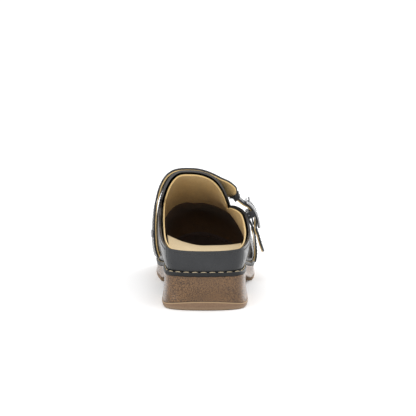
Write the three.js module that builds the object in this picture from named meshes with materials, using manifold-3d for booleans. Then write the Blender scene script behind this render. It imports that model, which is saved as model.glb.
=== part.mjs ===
// A right-foot wooden clog: carved sole, rubber treads, stitched welt, leather upper and a buckled instep strap.
// Millimetres. +X is the outer (lateral) side, +Y points to the toe, +Z is up.
// The origin lies on the ground, under the middle of the heel.
import * as THREE from 'three';
import Module from 'manifold-3d';
import { mergeVertices } from 'three/addons/utils/BufferGeometryUtils.js';

const wasm = await Module();
wasm.setup();

// ---- Driving dimensions -------------------------------------------------------------------------

const soleLength = 255;
const heelWidth = 70;
const ballWidth = 90;
const heelOverhang = 33;          // the heel's back edge lies this far behind the origin
const heelTopHeight = 28;         // ground to the top of the wood at the heel
const ballTopHeight = 12;         // ground to the top of the wood at the ball of the foot
const toeSpring = 11;             // how far the toe's end is lifted
const archHeight = 12;            // ground to the underside of the shank
const treadStart = 96;            // where the forefoot tread begins, along the length
const rockerStart = 150;          // where the toe begins to lift
const heelBreast = 42;            // front face of the heel block

const heelTreadMiddle = 7.6;      // rubber under the heel, thickest in the middle of its back
const heelTreadCorner = 4.3;
const forefootTread = 3.4;
const woodWaist = 0.9;            // how far the wood's side pulls in between its top and its foot
const soleEdgeRound = 3;
const heelFlare = 1.3;            // the heel grows this much wider on each side towards the ground

const weltThick = 3.2;
const weltWide = 7.4;
const weltSeamAt = 2.1;           // where the welt's ends and the rear seams stand, in outline steps
const threadInset = 0.8;
const threadSize = 0.8;

const upperInset = 2.6;           // the upper stands this far inside the sole's edge
const leather = 1.8;
const liningGap = 2.0;            // room between leather and lining, for the stiffeners
const lining = 1.2;
const stiffener = 0.8;
const clearance = 0.3;

const footbedEdge = 1.75;          // between the footbed's edge and the lining
const sockThick = 1.2;

const strapWidth = 20;
const strapLeather = 1.5;
const strapBacking = 0.9;
const strapStand = 1.1;           // the strap stands this far off the vamp
const strapStep = 7.6;            // where the strap crosses, in outline steps
const keeperWidth = 5;
const keeperThick = 1.1;

const barRadius = 1.25;
const railRadius = 1.25;
const prongRadius = 1.0;
const anchorThick = 1.4;
const rivetShaft = 1.2;
const rivetHead = 3.8;

// ---- Small helpers ------------------------------------------------------------------------------

const v3 = (x, y, z) => new THREE.Vector3(x, y, z);
const mix = (a, b, t) => a + (b - a) * t;
const clamp01 = (t) => Math.min(1, Math.max(0, t));
const smooth = (a, b, x) => {
  const t = clamp01((x - a) / (b - a));
  return t * t * (3 - 2 * t);
};

// Smooth run through a list of numbers, one per outline step.
function along(values, at) {
  const last = values.length - 1;
  const i = Math.min(last - 1, Math.max(0, Math.floor(at)));
  const t = at - i;
  const p0 = values[Math.max(0, i - 1)];
  const p1 = values[i];
  const p2 = values[i + 1];
  const p3 = values[Math.min(last, i + 2)];
  const a = (p2 - p0) / 2;
  const b = (p3 - p1) / 2;
  return p1 + a * t + (3 * (p2 - p1) - 2 * a - b) * t * t + (2 * (p1 - p2) + a + b) * t * t * t;
}

// A closed solid from a list of triangles, each of three Vector3.
function solidFrom(triangles) {
  const raw = new THREE.BufferGeometry();
  const flat = [];
  for (const tri of triangles) {
    for (const p of tri) flat.push(p.x, p.y, p.z);
  }
  raw.setAttribute('position', new THREE.Float32BufferAttribute(flat, 3));
  const merged = mergeVertices(raw, 1e-3);
  const index = merged.getIndex().array;
  const kept = [];
  for (let i = 0; i < index.length; i += 3) {
    const [a, b, c] = [index[i], index[i + 1], index[i + 2]];
    if (a !== b && b !== c && c !== a) kept.push(a, b, c);
  }
  merged.setIndex(kept);
  let volume = 0;
  const pos = merged.getAttribute('position');
  const p = [v3(0, 0, 0), v3(0, 0, 0), v3(0, 0, 0)];
  for (let i = 0; i < kept.length; i += 3) {
    for (let k = 0; k < 3; k += 1) p[k].fromBufferAttribute(pos, kept[i + k]);
    volume += p[0].dot(p[1].clone().cross(p[2]));
  }
  if (volume < 0) {
    for (let i = 0; i < kept.length; i += 3) [kept[i], kept[i + 1]] = [kept[i + 1], kept[i]];
    merged.setIndex(kept);
  }
  return merged;
}

function quad(triangles, a, b, c, d) {
  triangles.push([a, b, c], [a, c, d]);
}

// A closed band of sections: each row is a ring with the same number of points, and both ends are capped.
function loft(rows) {
  const triangles = [];
  const n = rows[0].length;
  for (let i = 0; i + 1 < rows.length; i += 1) {
    for (let j = 0; j < n; j += 1) {
      const k = (j + 1) % n;
      quad(triangles, rows[i][j], rows[i][k], rows[i + 1][k], rows[i + 1][j]);
    }
  }
  for (let j = 1; j + 1 < n; j += 1) {
    triangles.push([rows[0][0], rows[0][j + 1], rows[0][j]]);
    const end = rows[rows.length - 1];
    triangles.push([end[0], end[j], end[j + 1]]);
  }
  return solidFrom(triangles);
}

// A closed shell between two grids of points of the same size; open edges get a wall.
// skipTop(i) leaves out the wall on the last column between rows i and i + 1, and noEnd the last row's wall.
function shell(outer, inner, { skipTop = () => false, noEnd = false } = {}) {
  const triangles = [];
  const rows = outer.length;
  const cols = outer[0].length;
  for (let i = 0; i + 1 < rows; i += 1) {
    for (let j = 0; j + 1 < cols; j += 1) {
      quad(triangles, outer[i][j], outer[i + 1][j], outer[i + 1][j + 1], outer[i][j + 1]);
      quad(triangles, inner[i][j], inner[i][j + 1], inner[i + 1][j + 1], inner[i + 1][j]);
    }
    const e = cols - 1;
    quad(triangles, outer[i][0], inner[i][0], inner[i + 1][0], outer[i + 1][0]);
    if (!skipTop(i)) quad(triangles, outer[i][e], outer[i + 1][e], inner[i + 1][e], inner[i][e]);
  }
  for (let j = 0; j + 1 < cols; j += 1) {
    quad(triangles, outer[0][j], outer[0][j + 1], inner[0][j + 1], inner[0][j]);
    const e = rows - 1;
    if (!noEnd) quad(triangles, outer[e][j], inner[e][j], inner[e][j + 1], outer[e][j + 1]);
  }
  return solidFrom(triangles);
}

function toManifold(geometry) {
  const g = geometry.index ? geometry.toNonIndexed() : geometry.clone();
  g.deleteAttribute('normal');
  g.deleteAttribute('uv');
  const m = mergeVertices(g, 1e-4);
  return new wasm.Manifold(new wasm.Mesh({
    numProp: 3,
    vertProperties: new Float32Array(m.getAttribute('position').array),
    triVerts: new Uint32Array(m.getIndex().array),
  }));
}

function fromManifold(solid) {
  const mesh = solid.getMesh();
  const g = new THREE.BufferGeometry();
  g.setAttribute('position', new THREE.BufferAttribute(new Float32Array(mesh.vertProperties), 3));
  g.setIndex(new THREE.BufferAttribute(new Uint32Array(mesh.triVerts), 1));
  return g;
}

function cut(geometry, ...tools) {
  let solid = toManifold(geometry);
  for (const tool of tools) solid = solid.subtract(toManifold(tool));
  return fromManifold(solid);
}

// Turns a geometry so that its local Y runs along a direction, and puts it at a place.
function aimed(geometry, direction, place) {
  const turn = new THREE.Quaternion().setFromUnitVectors(v3(0, 1, 0), direction.clone().normalize());
  return geometry.clone().applyQuaternion(turn).translate(place.x, place.y, place.z);
}

// ---- The sole's outline and heights ---------------------------------------------------------------

// One row per step from the heel's back (0) to the toe's end (13): share of the half width and share of
// the length, on the lateral side and then on the medial side.
const outlineSteps = [
  [0, 0, 0, 0],
  [0.543, 0.009, -0.543, 0.009],
  [0.886, 0.041, -0.886, 0.041],
  [0.991, 0.118, -0.983, 0.112],
  [0.994, 0.227, -0.989, 0.2],
  [0.979, 0.325, -0.971, 0.294],
  [0.953, 0.435, -0.931, 0.404],
  [0.98, 0.533, -0.914, 0.514],
  [1.004, 0.631, -0.96, 0.62],
  [0.989, 0.737, -1.0, 0.725],
  [0.856, 0.847, -0.967, 0.827],
  [0.578, 0.933, -0.822, 0.918],
  [0.2, 0.988, -0.556, 0.976],
  [-0.178, 1, -0.178, 1],
];
const steps = outlineSteps.length - 1;

function yOfShare(share) {
  return -heelOverhang + share * soleLength;
}

function halfWidth(y) {
  return mix(heelWidth, ballWidth, smooth(40, 130, y)) / 2;
}

const closedOutline = (() => {
  const points = [];
  for (let i = 0; i <= steps; i += 1) points.push([outlineSteps[i][0], outlineSteps[i][1]]);
  for (let i = steps - 1; i > 0; i -= 1) points.push([outlineSteps[i][2], outlineSteps[i][3]]);
  return new THREE.CatmullRomCurve3(points.map(([wide, far]) => {
    const y = yOfShare(far);
    return v3(wide * halfWidth(y), y, 0);
  }), true, 'catmullrom', 0.5);
})();

// Outline point at a signed step: 0 is the heel's back, + goes round the lateral side and - the medial side,
// and both reach the toe's end at 13. inset moves it inwards.
function outline(step, inset = 0) {
  const u = ((step / (2 * steps)) % 1 + 1) % 1;
  const p = closedOutline.getPoint(u);
  if (inset === 0) return p;
  const a = closedOutline.getPoint((u + 0.9995) % 1);
  const b = closedOutline.getPoint((u + 0.0005) % 1);
  const inward = v3(-(b.y - a.y), b.x - a.x, 0).normalize();
  return p.addScaledVector(inward, inset);
}

function lift(y) {
  const toe = yOfShare(1);
  return toeSpring * Math.max(0, (y - rockerStart) / (toe - rockerStart)) ** 2;
}

function woodTop(y) {
  return mix(heelTopHeight, ballTopHeight, smooth(22, 128, y)) + lift(y);
}

function heelTreadTop(x) {
  const reach = Math.min(1, Math.abs(x) / (heelWidth / 2));
  return mix(heelTreadMiddle, heelTreadCorner, reach * reach);
}

function woodBottom(x, y) {
  if (y <= heelBreast) return heelTreadTop(x) + clearance;
  const shank = mix(archHeight, forefootTread + clearance, smooth(heelBreast + 22, treadStart + 12, y));
  return mix(heelTreadTop(x) + clearance, shank, smooth(heelBreast, heelBreast + 7, y)) + lift(y);
}

// A closed slab on the outline: rings from the bottom edge to the top edge, and two caps across.
// ring(step, level) gives an edge point; levels is how many rings; low(p) and high(p) give a cap's height.
function slab({ from = 0, to = steps, rows, across, ring, levels, low, high }) {
  const triangles = [];
  const at = (i) => mix(from, to, i / rows);
  const edge = [];
  for (let level = 0; level < levels; level += 1) {
    const points = [];
    for (let i = 0; i <= rows; i += 1) points.push([ring(at(i), level), ring(-at(i), level)]);
    edge.push(points);
  }
  const grid = (points, height) => points.map(([right, left]) => {
    const line = [];
    for (let k = 0; k <= across; k += 1) {
      const p = right.clone().lerp(left, k / across);
      if (k > 0 && k < across) p.z = height(p, right, left);
      line.push(p);
    }
    return line;
  });
  const top = grid(edge[levels - 1], high);
  const bottom = grid(edge[0], low);
  for (let i = 0; i < rows; i += 1) {
    for (let k = 0; k < across; k += 1) {
      quad(triangles, top[i][k], top[i][k + 1], top[i + 1][k + 1], top[i + 1][k]);
      quad(triangles, bottom[i][k], bottom[i + 1][k], bottom[i + 1][k + 1], bottom[i][k + 1]);
    }
  }
  for (let level = 0; level + 1 < levels; level += 1) {
    for (let i = 0; i < rows; i += 1) {
      const a = edge[level][i];
      const b = edge[level][i + 1];
      const c = edge[level + 1][i + 1];
      const d = edge[level + 1][i];
      quad(triangles, a[0], d[0], c[0], b[0]);
      quad(triangles, a[1], b[1], c[1], d[1]);
    }
  }
  const close = (i, flip) => {
    const faces = [];
    for (let k = 0; k < across; k += 1) {
      quad(faces, bottom[i][k], top[i][k], top[i][k + 1], bottom[i][k + 1]);
    }
    const last = edge[levels - 1][i];
    for (let level = 0; level + 2 < levels; level += 1) {
      faces.push([edge[level][i][0], edge[level + 1][i][0], last[0]]);
      faces.push([last[1], edge[level + 1][i][1], edge[level][i][1]]);
    }
    triangles.push(...(flip ? faces.map((face) => [...face].reverse()) : faces));
  };
  if (from > 0) close(0, true);
  if (to < steps) close(rows, false);
  return solidFrom(triangles);
}

// ---- The upper's form -----------------------------------------------------------------------------

// The line that the wall lines of both sides rise to, one point per outline step.
const ridge = {
  x: [0, 0, -1, -3, -6, -10, -13, -15, -14, -12, -10, -9, -8.5, -8],
  y: [-8, -7, 0, 10, 27, 48, 74, 98, 121, 143, 162, 176, 185, 189],
  z: [92, 93, 95, 98, 102, 104.5, 105.4, 100.8, 90.4, 77.6, 67.6, 61.8, 59.2, 58.6],
};
const roundnessLateral = [3.2, 3.2, 3.2, 3.2, 3.2, 3.1, 2.7, 1.75, 1.45, 1.8, 1.95, 2.1, 2.2, 2.2];
const roundnessMedial = [3.2, 3.2, 3.2, 3.2, 3.2, 3.4, 3.8, 4.0, 3.3, 2.6, 2.3, 2.2, 2.2, 2.2];
// Extra fullness of the lateral shoulder, above the middle of a wall line.
const shoulderLateral = [0, 0, 0, 0, 0, 0, 0, 0.45, 0.3, 0, 0, 0, 0, 0];
const bulgeLateral = [1, 1.5, 3, 4.4, 6.8, 8.2, 6, 4, 4.8, 4.6, 4, 3.2, 3, 3];
const bulgeMedial = [1, 1.5, 3, 4.4, 6.4, 8.2, 8.4, 6.8, 5, 4.4, 3.8, 3.2, 3, 3];

const upperFoot = (y) => woodTop(y) + clearance + weltThick + clearance;

// Point of the upper's outer face, moved inwards by depth: step as in outline(), rise from 0 at the welt to
// 1 on the ridge.
function form(step, rise, depth = 0) {
  const at = Math.abs(step);
  const base = outline(step, upperInset + depth);
  const edge = outline(step, 0);
  const top = v3(
    along(ridge.x, at) * (ballWidth / 90),
    along(ridge.y, at) * (soleLength / 255),
    along(ridge.z, at) - depth,
  );
  const foot = upperFoot(edge.y);
  const angle = rise * Math.PI / 2;
  const p = step >= 0
    ? along(roundnessLateral, at) + along(shoulderLateral, at) * smooth(0.5, 0.8, rise)
    : along(roundnessMedial, at);
  const c = Math.cos(angle);
  const s = Math.sin(angle);
  const r = (Math.max(c, 1e-9) ** p + Math.max(s, 1e-9) ** p) ** (-1 / p);
  const inward = 1 - r * c;
  const up = r * s;
  const high = clamp01(up);
  const out = along(step >= 0 ? bulgeLateral : bulgeMedial, at) * (1 - (1 - high) ** 9) * (1 - high ** 4);
  const planX = mix(base.x, top.x, inward);
  const planY = mix(base.y, top.y, inward);
  const away = v3(edge.x - outline(step, 1).x, edge.y - outline(step, 1).y, 0);
  return v3(planX + away.x * out, planY + away.y * out, mix(foot, top.z, up));
}

// How far up a wall line a height is reached.
function riseAt(step, height, depth = 0) {
  let low = 0;
  let high = 1;
  for (let i = 0; i < 24; i += 1) {
    const middle = (low + high) / 2;
    if (form(step, middle, depth).z < height) low = middle;
    else high = middle;
  }
  return (low + high) / 2;
}

// The collar's height above the ground, one value per outline step, up to the notch on each side.
const collarLateral = [49.4, 49.8, 51, 52.1, 52.8, 55.4, 63.4, 69, 66.4];
const collarMedial = [49.4, 49.8, 51.2, 53.1, 54.4, 55.4, 59.7, 74.2, 90.5];
const notchLateral = 7.55;
const notchMedial = 7.1;
const seamFootLateral = 8.25;     // where the quarter's front edge meets the welt
const seamFootMedial = 7.75;
const tongueTip = 6.79;

const notchRiseLateral = riseAt(notchLateral, along(collarLateral, notchLateral));
const notchRiseMedial = riseAt(-notchMedial, along(collarMedial, notchMedial));

function collarRise(step) {
  const at = Math.abs(step);
  const lateral = step >= 0;
  const notch = lateral ? notchLateral : notchMedial;
  const foot = lateral ? seamFootLateral : seamFootMedial;
  if (at <= notch) return riseAt(step, along(lateral ? collarLateral : collarMedial, at));
  const top = lateral ? notchRiseLateral : notchRiseMedial;
  return top * (1 - (at - notch) / (foot - notch));
}

// The vamp's lower limit on a wall line: the tongue's rounded edge, then the quarter's front seam, then the welt.
function vampRise(step, gap) {
  const at = Math.abs(step);
  const lateral = step >= 0;
  const notch = lateral ? notchLateral : notchMedial;
  const foot = lateral ? seamFootLateral : seamFootMedial;
  const top = lateral ? notchRiseLateral : notchRiseMedial;
  if (at <= tongueTip) return 1;
  if (at < notch) {
    const share = (notch - at) / (notch - tongueTip);
    return 1 - (1 - top - gap) * Math.sqrt(1 - share * share);
  }
  if (at < foot + 0.001) return Math.max(0, top * (1 - (at - notch) / (foot - notch)) + gap);
  return 0;
}

function spread(from, to, count) {
  const list = [];
  for (let i = 0; i <= count; i += 1) list.push(mix(from, to, i / count));
  return list;
}

// Rises from low to high, closer together near the welt, where the wall bends most.
function climb(low, high, count) {
  return spread(0, 1, count).map((t) => mix(low, high, t ** 1.6));
}

// A shell on the walls: steps in order, columns from low(step) to high(step), between two depths.
function wallShell({ at, low, high, from, to, columns, options }) {
  const grid = (depth) => at.map((step) => climb(low(step), high(step), columns)
    .map((rise) => form(step, rise, depth)));
  return shell(grid(from), grid(to), options);
}

// A shell over the ridge: rows at unsigned steps, from the lateral limit over the ridge to the medial limit.
function bridgeShell({ at, low, from, to, columns, noEnd }) {
  const grid = (depth) => at.map((step) => {
    const right = climb(low(step), 1, columns).map((rise) => form(step, rise, depth));
    const left = climb(low(-step), 1, columns).reverse().map((rise) => form(-step, rise, depth));
    right[columns] = left[0].clone();
    return [...right, ...left.slice(1)];
  });
  return shell(grid(from), grid(to), { noEnd });
}

// ---- Sole unit --------------------------------------------------------------------------------------

const group = new THREE.Group();

function add(name, geometry, colour, roughness, metalness = 0) {
  const g = geometry.clone();
  g.computeVertexNormals();
  const material = new THREE.MeshStandardMaterial({ color: colour, roughness, metalness });
  const mesh = new THREE.Mesh(g, material);
  mesh.name = name;
  group.add(mesh);
  return mesh;
}

const colours = {
  wood: 0x7a6148, rubber: 0x917358, leather: 0x35373a, tan: 0xb09468, brown: 0x3a281c,
  cream: 0xd6c29a, steel: 0xb8b8b4, dark: 0x4a3a2c,
};

const flare = (y) => heelFlare * (1 - smooth(heelBreast, heelBreast + 28, y));

function woodenSole() {
  const levels = 6;
  const ring = (step, level) => {
    const edge = outline(step, 0);
    const bottom = woodBottom(edge.x, edge.y);
    const top = woodTop(edge.y);
    const share = [0, 0.12, 0.35, 0.65, 0.88, 1][level];
    const inset = [0.4, 0.1, woodWaist * 0.8, woodWaist, woodWaist * 0.3, 0][level];
    const p = outline(step, inset - flare(edge.y) * (1 - share) ** 1.4);
    return v3(p.x, p.y, mix(bottom, top, share));
  };
  return slab({
    rows: 46, across: 4, ring, levels,
    low: (p) => woodBottom(p.x, p.y),
    high: (p) => woodTop(p.y),
  });
}

// Outline step at which the lateral edge reaches a distance along the length.
function stepAtY(y) {
  let low = 0;
  let high = steps;
  for (let i = 0; i < 30; i += 1) {
    const middle = (low + high) / 2;
    if ((outline(middle).y + outline(-middle).y) / 2 < y) low = middle;
    else high = middle;
  }
  return (low + high) / 2;
}

function heelOutsole() {
  const end = stepAtY(heelBreast - 1.5);
  const rim = (step, level) => {
    const p = outline(step, [soleEdgeRound * 0.7, soleEdgeRound * 0.1, 0.1][level] - heelFlare);
    const edge = outline(step, 0);
    return v3(p.x, p.y, [0, soleEdgeRound * 0.55, heelTreadTop(edge.x)][level]);
  };
  return slab({
    to: end, rows: 18, across: 8, ring: rim, levels: 3,
    low: () => 0,
    high: (p) => heelTreadTop(p.x),
  });
}

function forefootOutsole() {
  const start = stepAtY(treadStart + 12);
  const rim = (step, level) => {
    const p = outline(step, [soleEdgeRound * 0.6, soleEdgeRound * 0.15, 0.2][level]);
    const edge = outline(step, 0);
    return v3(p.x, p.y, lift(edge.y) + [0, soleEdgeRound * 0.45, forefootTread][level]);
  };
  return slab({
    from: start, rows: 26, across: 6, ring: rim, levels: 3,
    low: (p) => lift(p.y),
    high: (p) => lift(p.y) + forefootTread,
  });
}

const seamHalfGap = 0.012;

// Steps once round the outline, from one side of the medial rear seam to the other.
function roundFromSeam(count, gap = seamHalfGap) {
  return spread(-weltSeamAt + gap, 2 * steps - weltSeamAt - gap, count);
}

function welt() {
  return loft(roundFromSeam(88).map((step) => {
    const outer = outline(step, 0);
    const z = woodTop(outer.y) + clearance;
    const inner = outline(step, weltWide);
    return [
      v3(outer.x, outer.y, z),
      v3(outline(step, -0.25).x, outline(step, -0.25).y, z + weltThick * 0.5),
      v3(outer.x, outer.y, z + weltThick),
      v3(inner.x, inner.y, z + weltThick),
      v3(inner.x, inner.y, z),
    ];
  }));
}

function weltThread() {
  return loft(roundFromSeam(88, seamHalfGap * 4).map((step) => {
    const edge = outline(step, 0);
    const z = woodTop(edge.y) + clearance + weltThick + clearance * 0.7;
    const a = outline(step, threadInset - threadSize / 2);
    const b = outline(step, threadInset + threadSize / 2);
    return [v3(a.x, a.y, z), v3(a.x, a.y, z + threadSize * 0.7), v3(b.x, b.y, z + threadSize * 0.7), v3(b.x, b.y, z)];
  }));
}

// ---- Footbed ------------------------------------------------------------------------------------------

const footbedMiddle = [39.4, 39.4, 39.4, 39.6, 40.3, 40.8, 37.2, 28.5, 20.6, 18.6, 20.0, 23.4, 26.6, 28];
const footbedMedialRise = [4.5, 4.5, 4.5, 4.6, 5, 6.4, 10.5, 9.5, 3.5, 1, 0.5, 0.3, 0.2, 0.2];
const footbedLateralRise = [4.5, 4.2, 3.2, 2.2, 1.6, 1.6, 1.6, 1.2, 0.9, 0.7, 0.5, 0.3, 0.2, 0.2];
const innerFace = leather + liningGap + lining;

function footbedEdgeHeight(step) {
  const at = Math.abs(step);
  const rise = step >= 0 ? footbedLateralRise : footbedMedialRise;
  return along(footbedMiddle, at) + along(rise, at);
}

// The footbed's edge point at a height: it follows the lining's inner face.
function footbedSide(step, height, inset) {
  const depth = innerFace + footbedEdge;
  const p = form(step, riseAt(step, height, depth), depth);
  const q = form(step, riseAt(step, height, depth + inset), depth + inset);
  return v3(inset > 0 ? q.x : p.x, inset > 0 ? q.y : p.y, height);
}

function footbedHeight(p, right, left, step) {
  const across = clamp01((p.x - left.x) / Math.max(1e-6, right.x - left.x)) * 2 - 1;
  if (across > 0) return along(footbedMiddle, step) + along(footbedLateralRise, step) * across ** 4;
  return along(footbedMiddle, step) + along(footbedMedialRise, step) * Math.abs(across) ** 1.7;
}

function bedSlab({ to, rows, across, top, bottom, inset, seat }) {
  const triangles = [];
  const at = spread(0, to, rows);
  const rim = (height, extra = 0) => at.map((step) => [step, -step].map((signed) => {
    const z = height(signed);
    return footbedSide(signed, z, inset + extra);
  }));
  const rimTop = rim((signed) => footbedEdgeHeight(signed) + top);
  const rimLow = rim((signed) => (seat ? upperFoot(outline(signed, 0).y) + 2
    : footbedEdgeHeight(signed) + bottom), seat ? 0.8 : 0);
  const rimSeat = (raised) => at.map((step) => [step, -step].map((signed) => {
    const p = outline(signed, upperInset + innerFace + footbedEdge + inset + 0.1);
    const y = outline(signed, 0).y;
    return v3(p.x, p.y, raised ? upperFoot(y) : woodTop(y) + clearance);
  }));
  const rings = seat ? [rimSeat(false), rimSeat(true), rimLow, rimTop] : [rimLow, rimTop];
  const grid = (points, height) => points.map(([right, left], i) => {
    const line = [];
    for (let k = 0; k <= across; k += 1) {
      const p = right.clone().lerp(left, k / across);
      if (k > 0 && k < across) p.z = height(p, right, left, at[i]);
      line.push(p);
    }
    return line;
  });
  const upper = grid(rings[rings.length - 1], (p, r, l, s) => footbedHeight(p, r, l, s) + top);
  const lower = grid(rings[0], seat
    ? (p) => woodTop(p.y) + clearance
    : (p, r, l, s) => footbedHeight(p, r, l, s) + bottom);
  for (let i = 0; i < rows; i += 1) {
    for (let k = 0; k < across; k += 1) {
      quad(triangles, upper[i][k], upper[i][k + 1], upper[i + 1][k + 1], upper[i + 1][k]);
      quad(triangles, lower[i][k], lower[i + 1][k], lower[i + 1][k + 1], lower[i][k + 1]);
    }
    for (let n = 0; n + 1 < rings.length; n += 1) {
      const [a, b, c, d] = [rings[n][i], rings[n][i + 1], rings[n + 1][i + 1], rings[n + 1][i]];
      quad(triangles, a[0], d[0], c[0], b[0]);
      quad(triangles, a[1], b[1], c[1], d[1]);
    }
  }
  if (to < steps) {
    for (let k = 0; k < across; k += 1) {
      quad(triangles, lower[rows][k], upper[rows][k], upper[rows][k + 1], lower[rows][k + 1]);
    }
  }
  return solidFrom(triangles);
}

const bedRows = 34;
const sockRows = 16;
const sockFront = steps * sockRows / bedRows;
const footbed = () => bedSlab({ to: steps, rows: bedRows, across: 6, top: -sockThick - 2 * clearance, inset: 0, seat: true });
const heelSock = () => bedSlab({ to: sockFront, rows: sockRows, across: 6, top: 0, bottom: -sockThick, inset: 0.6 });

// ---- Upper --------------------------------------------------------------------------------------------

const seamGap = 0.016;
const rows = (count) => spread(0, 1, count);

function quarter(sign) {
  const foot = (sign > 0 ? seamFootLateral : seamFootMedial) - 0.05;
  const at = rows(24).map((t) => sign * mix(weltSeamAt + seamGap, foot, t));
  return wallShell({ at, low: () => 0, high: collarRise, from: 0, to: leather, columns: 6 });
}

function heelCounter() {
  const at = spread(-weltSeamAt + seamGap, weltSeamAt - seamGap, 22);
  return wallShell({ at, low: () => 0, high: collarRise, from: 0, to: leather, columns: 4 });
}

function quarterLining() {
  const from = seamFootMedial - 0.05;
  const to = seamFootLateral - 0.05;
  const at = spread(-from, to, 50);
  const depth = leather + liningGap;
  return wallShell({ at, low: () => 0, high: collarRise, from: depth, to: depth + lining, columns: 5 });
}

function heelStiffener() {
  const at = spread(-3.6, 3.6, 26);
  const high = (step) => collarRise(step) * 0.8;
  const depth = leather + (liningGap - stiffener) / 2;
  return wallShell({ at, low: () => 0.01, high, from: depth, to: depth + stiffener, columns: 3 });
}

const vampGap = 0.008;

function vampRows(end) {
  const tongue = rows(6).map((t) => mix(tongueTip, notchMedial, 1 - Math.cos(t * Math.PI / 2)));
  const notch = rows(6).slice(1).map((t) => mix(notchMedial, notchLateral, Math.sin(t * Math.PI / 2)));
  const rest = rows(22).slice(1).map((t) => mix(notchLateral, end, t));
  return [...tongue, ...notch, ...rest];
}

function vamp() {
  return bridgeShell({
    at: vampRows(steps), low: (step) => vampRise(step, vampGap), from: 0, to: leather, columns: 8, noEnd: true,
  });
}

const liningFrontFoot = 9.0;      // the lining's front seam, at the welt and on the ridge, in outline steps
const liningFrontRidge = 9.85;
const liningSeam = 0.07;

function liningFrontRise(step) {
  return clamp01((Math.abs(step) - liningFrontFoot) / (liningFrontRidge - liningFrontFoot));
}

function vampLining() {
  const depth = leather + liningGap;
  return bridgeShell({
    at: vampRows(liningFrontRidge),
    low: (step) => Math.max(vampRise(step, vampGap), liningFrontRise(step)),
    from: depth, to: depth + lining, columns: 8,
  });
}

const toeRow = 0.18;               // outline steps from one row of a toe cap to the next

// A cap over the toe: its edge rises from the welt to the ridge between two steps.
function toeCap(foot, top, from, to, count, columns) {
  const reach = toeRow * count / 2;
  const high = (step) => {
    const at = step > steps ? 2 * steps - step : step;
    return clamp01((at - foot) / (top - foot));
  };
  const at = spread(steps - reach, steps + reach, count);
  const grid = (depth) => at.map((step) => climb(0, high(step), columns)
    .map((rise) => form(step > steps ? step - 2 * steps : step, rise, depth)));
  const outer = grid(from);
  const inner = grid(to);
  const options = { skipTop: (i) => high(at[i]) > 0.9999 && high(at[i + 1]) > 0.9999 };
  return shell(outer, inner, options);
}

function toeLining() {
  const depth = leather + liningGap;
  return toeCap(liningFrontFoot + liningSeam, liningFrontRidge + liningSeam, depth, depth + lining, 42, 8);
}

function toePuff() {
  const depth = leather + (liningGap - stiffener) / 2;
  return toeCap(10.5, 10.6, depth, depth + stiffener, 26, 8);
}

// ---- Instep strap and buckle ----------------------------------------------------------------------------

const strapThick = strapLeather + clearance + strapBacking;
const barAlong = 146 / 255;                              // the strap and its bar cross at this share of the length
const bar = v3(39.25, soleLength * barAlong - heelOverhang, 60.3);     // middle of the buckle's bar
const frameOut = v3(0.894, 0, 0.447).normalize();         // away from the foot
const frameUp = v3(-0.447, 0, 0.894).normalize();         // towards the instep
const railTop = 11.6;                                   // bar to the rail on the instep's side
const railTail = 13.8;                                  // bar to the rail on the tail's side
const railOut = 3.6;                                    // the rails stand this far outside the bar
const railBow = 3;
const railWide = 2.6;
const railGap = 0.95;                                   // between the strap's face and the rails
const strapSide = 0.7;                                  // between the strap's edge and the frame
const onFrame = (up, out, y = 0) => bar.clone()
  .addScaledVector(frameUp, up).addScaledVector(frameOut, out).add(v3(0, y, 0));
const foldRadius = barRadius + clearance + anchorThick / 2;
const strapOverBar = foldRadius + anchorThick / 2 + clearance + strapThick / 2 + 0.1;
const strapUnderRail = railOut - railRadius - railGap - strapThick / 2;

function strapStandAt(rise) {
  return 0.5 + (strapStand - 0.5) * smooth(0.1, 0.6, rise) + strapThick / 2;
}

// The strap's middle line: up the medial side, over the instep, through the buckle and down to its free tip.
const strapCurve = (() => {
  const line = [0.04, 0.1, 0.2, 0.3, 0.4, 0.5, 0.6, 0.7, 0.8, 0.9, 1]
    .map((rise) => form(-strapStep, rise, -strapStandAt(rise)));
  for (const place of line) place.y = bar.y;
  for (const [x, z] of [[-6, 96.9], [2, 94.8], [10, 91], [17.5, 86.2], [23, 80.4]]) line.push(v3(x, bar.y, z));
  line.push(onFrame(19, -3.1));
  line.push(onFrame(railTop, strapUnderRail));
  line.push(onFrame(6, strapOverBar - 1));
  line.push(onFrame(0, strapOverBar));
  line.push(onFrame(-7, strapOverBar - 1.2));
  line.push(onFrame(-railTail, strapUnderRail));
  line.push(onFrame(-20, strapUnderRail - 0.9));
  line.push(onFrame(-28, strapUnderRail - 2.4));
  line.push(onFrame(-36.5, strapUnderRail - 3.4));
  return new THREE.CatmullRomCurve3(line, false, 'centripetal');
})();

// Share of the strap's length nearest to a place.
function strapShare(place) {
  let best = 0;
  for (let i = 0; i <= 400; i += 1) {
    if (strapCurve.getPointAt(i / 400).distanceTo(place) < strapCurve.getPointAt(best).distanceTo(place)) best = i / 400;
  }
  return best;
}

const shareAtRidge = strapShare(form(strapStep, 1, -strapStandAt(1)));
const shareAtBar = strapShare(onFrame(0, strapOverBar));

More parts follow.
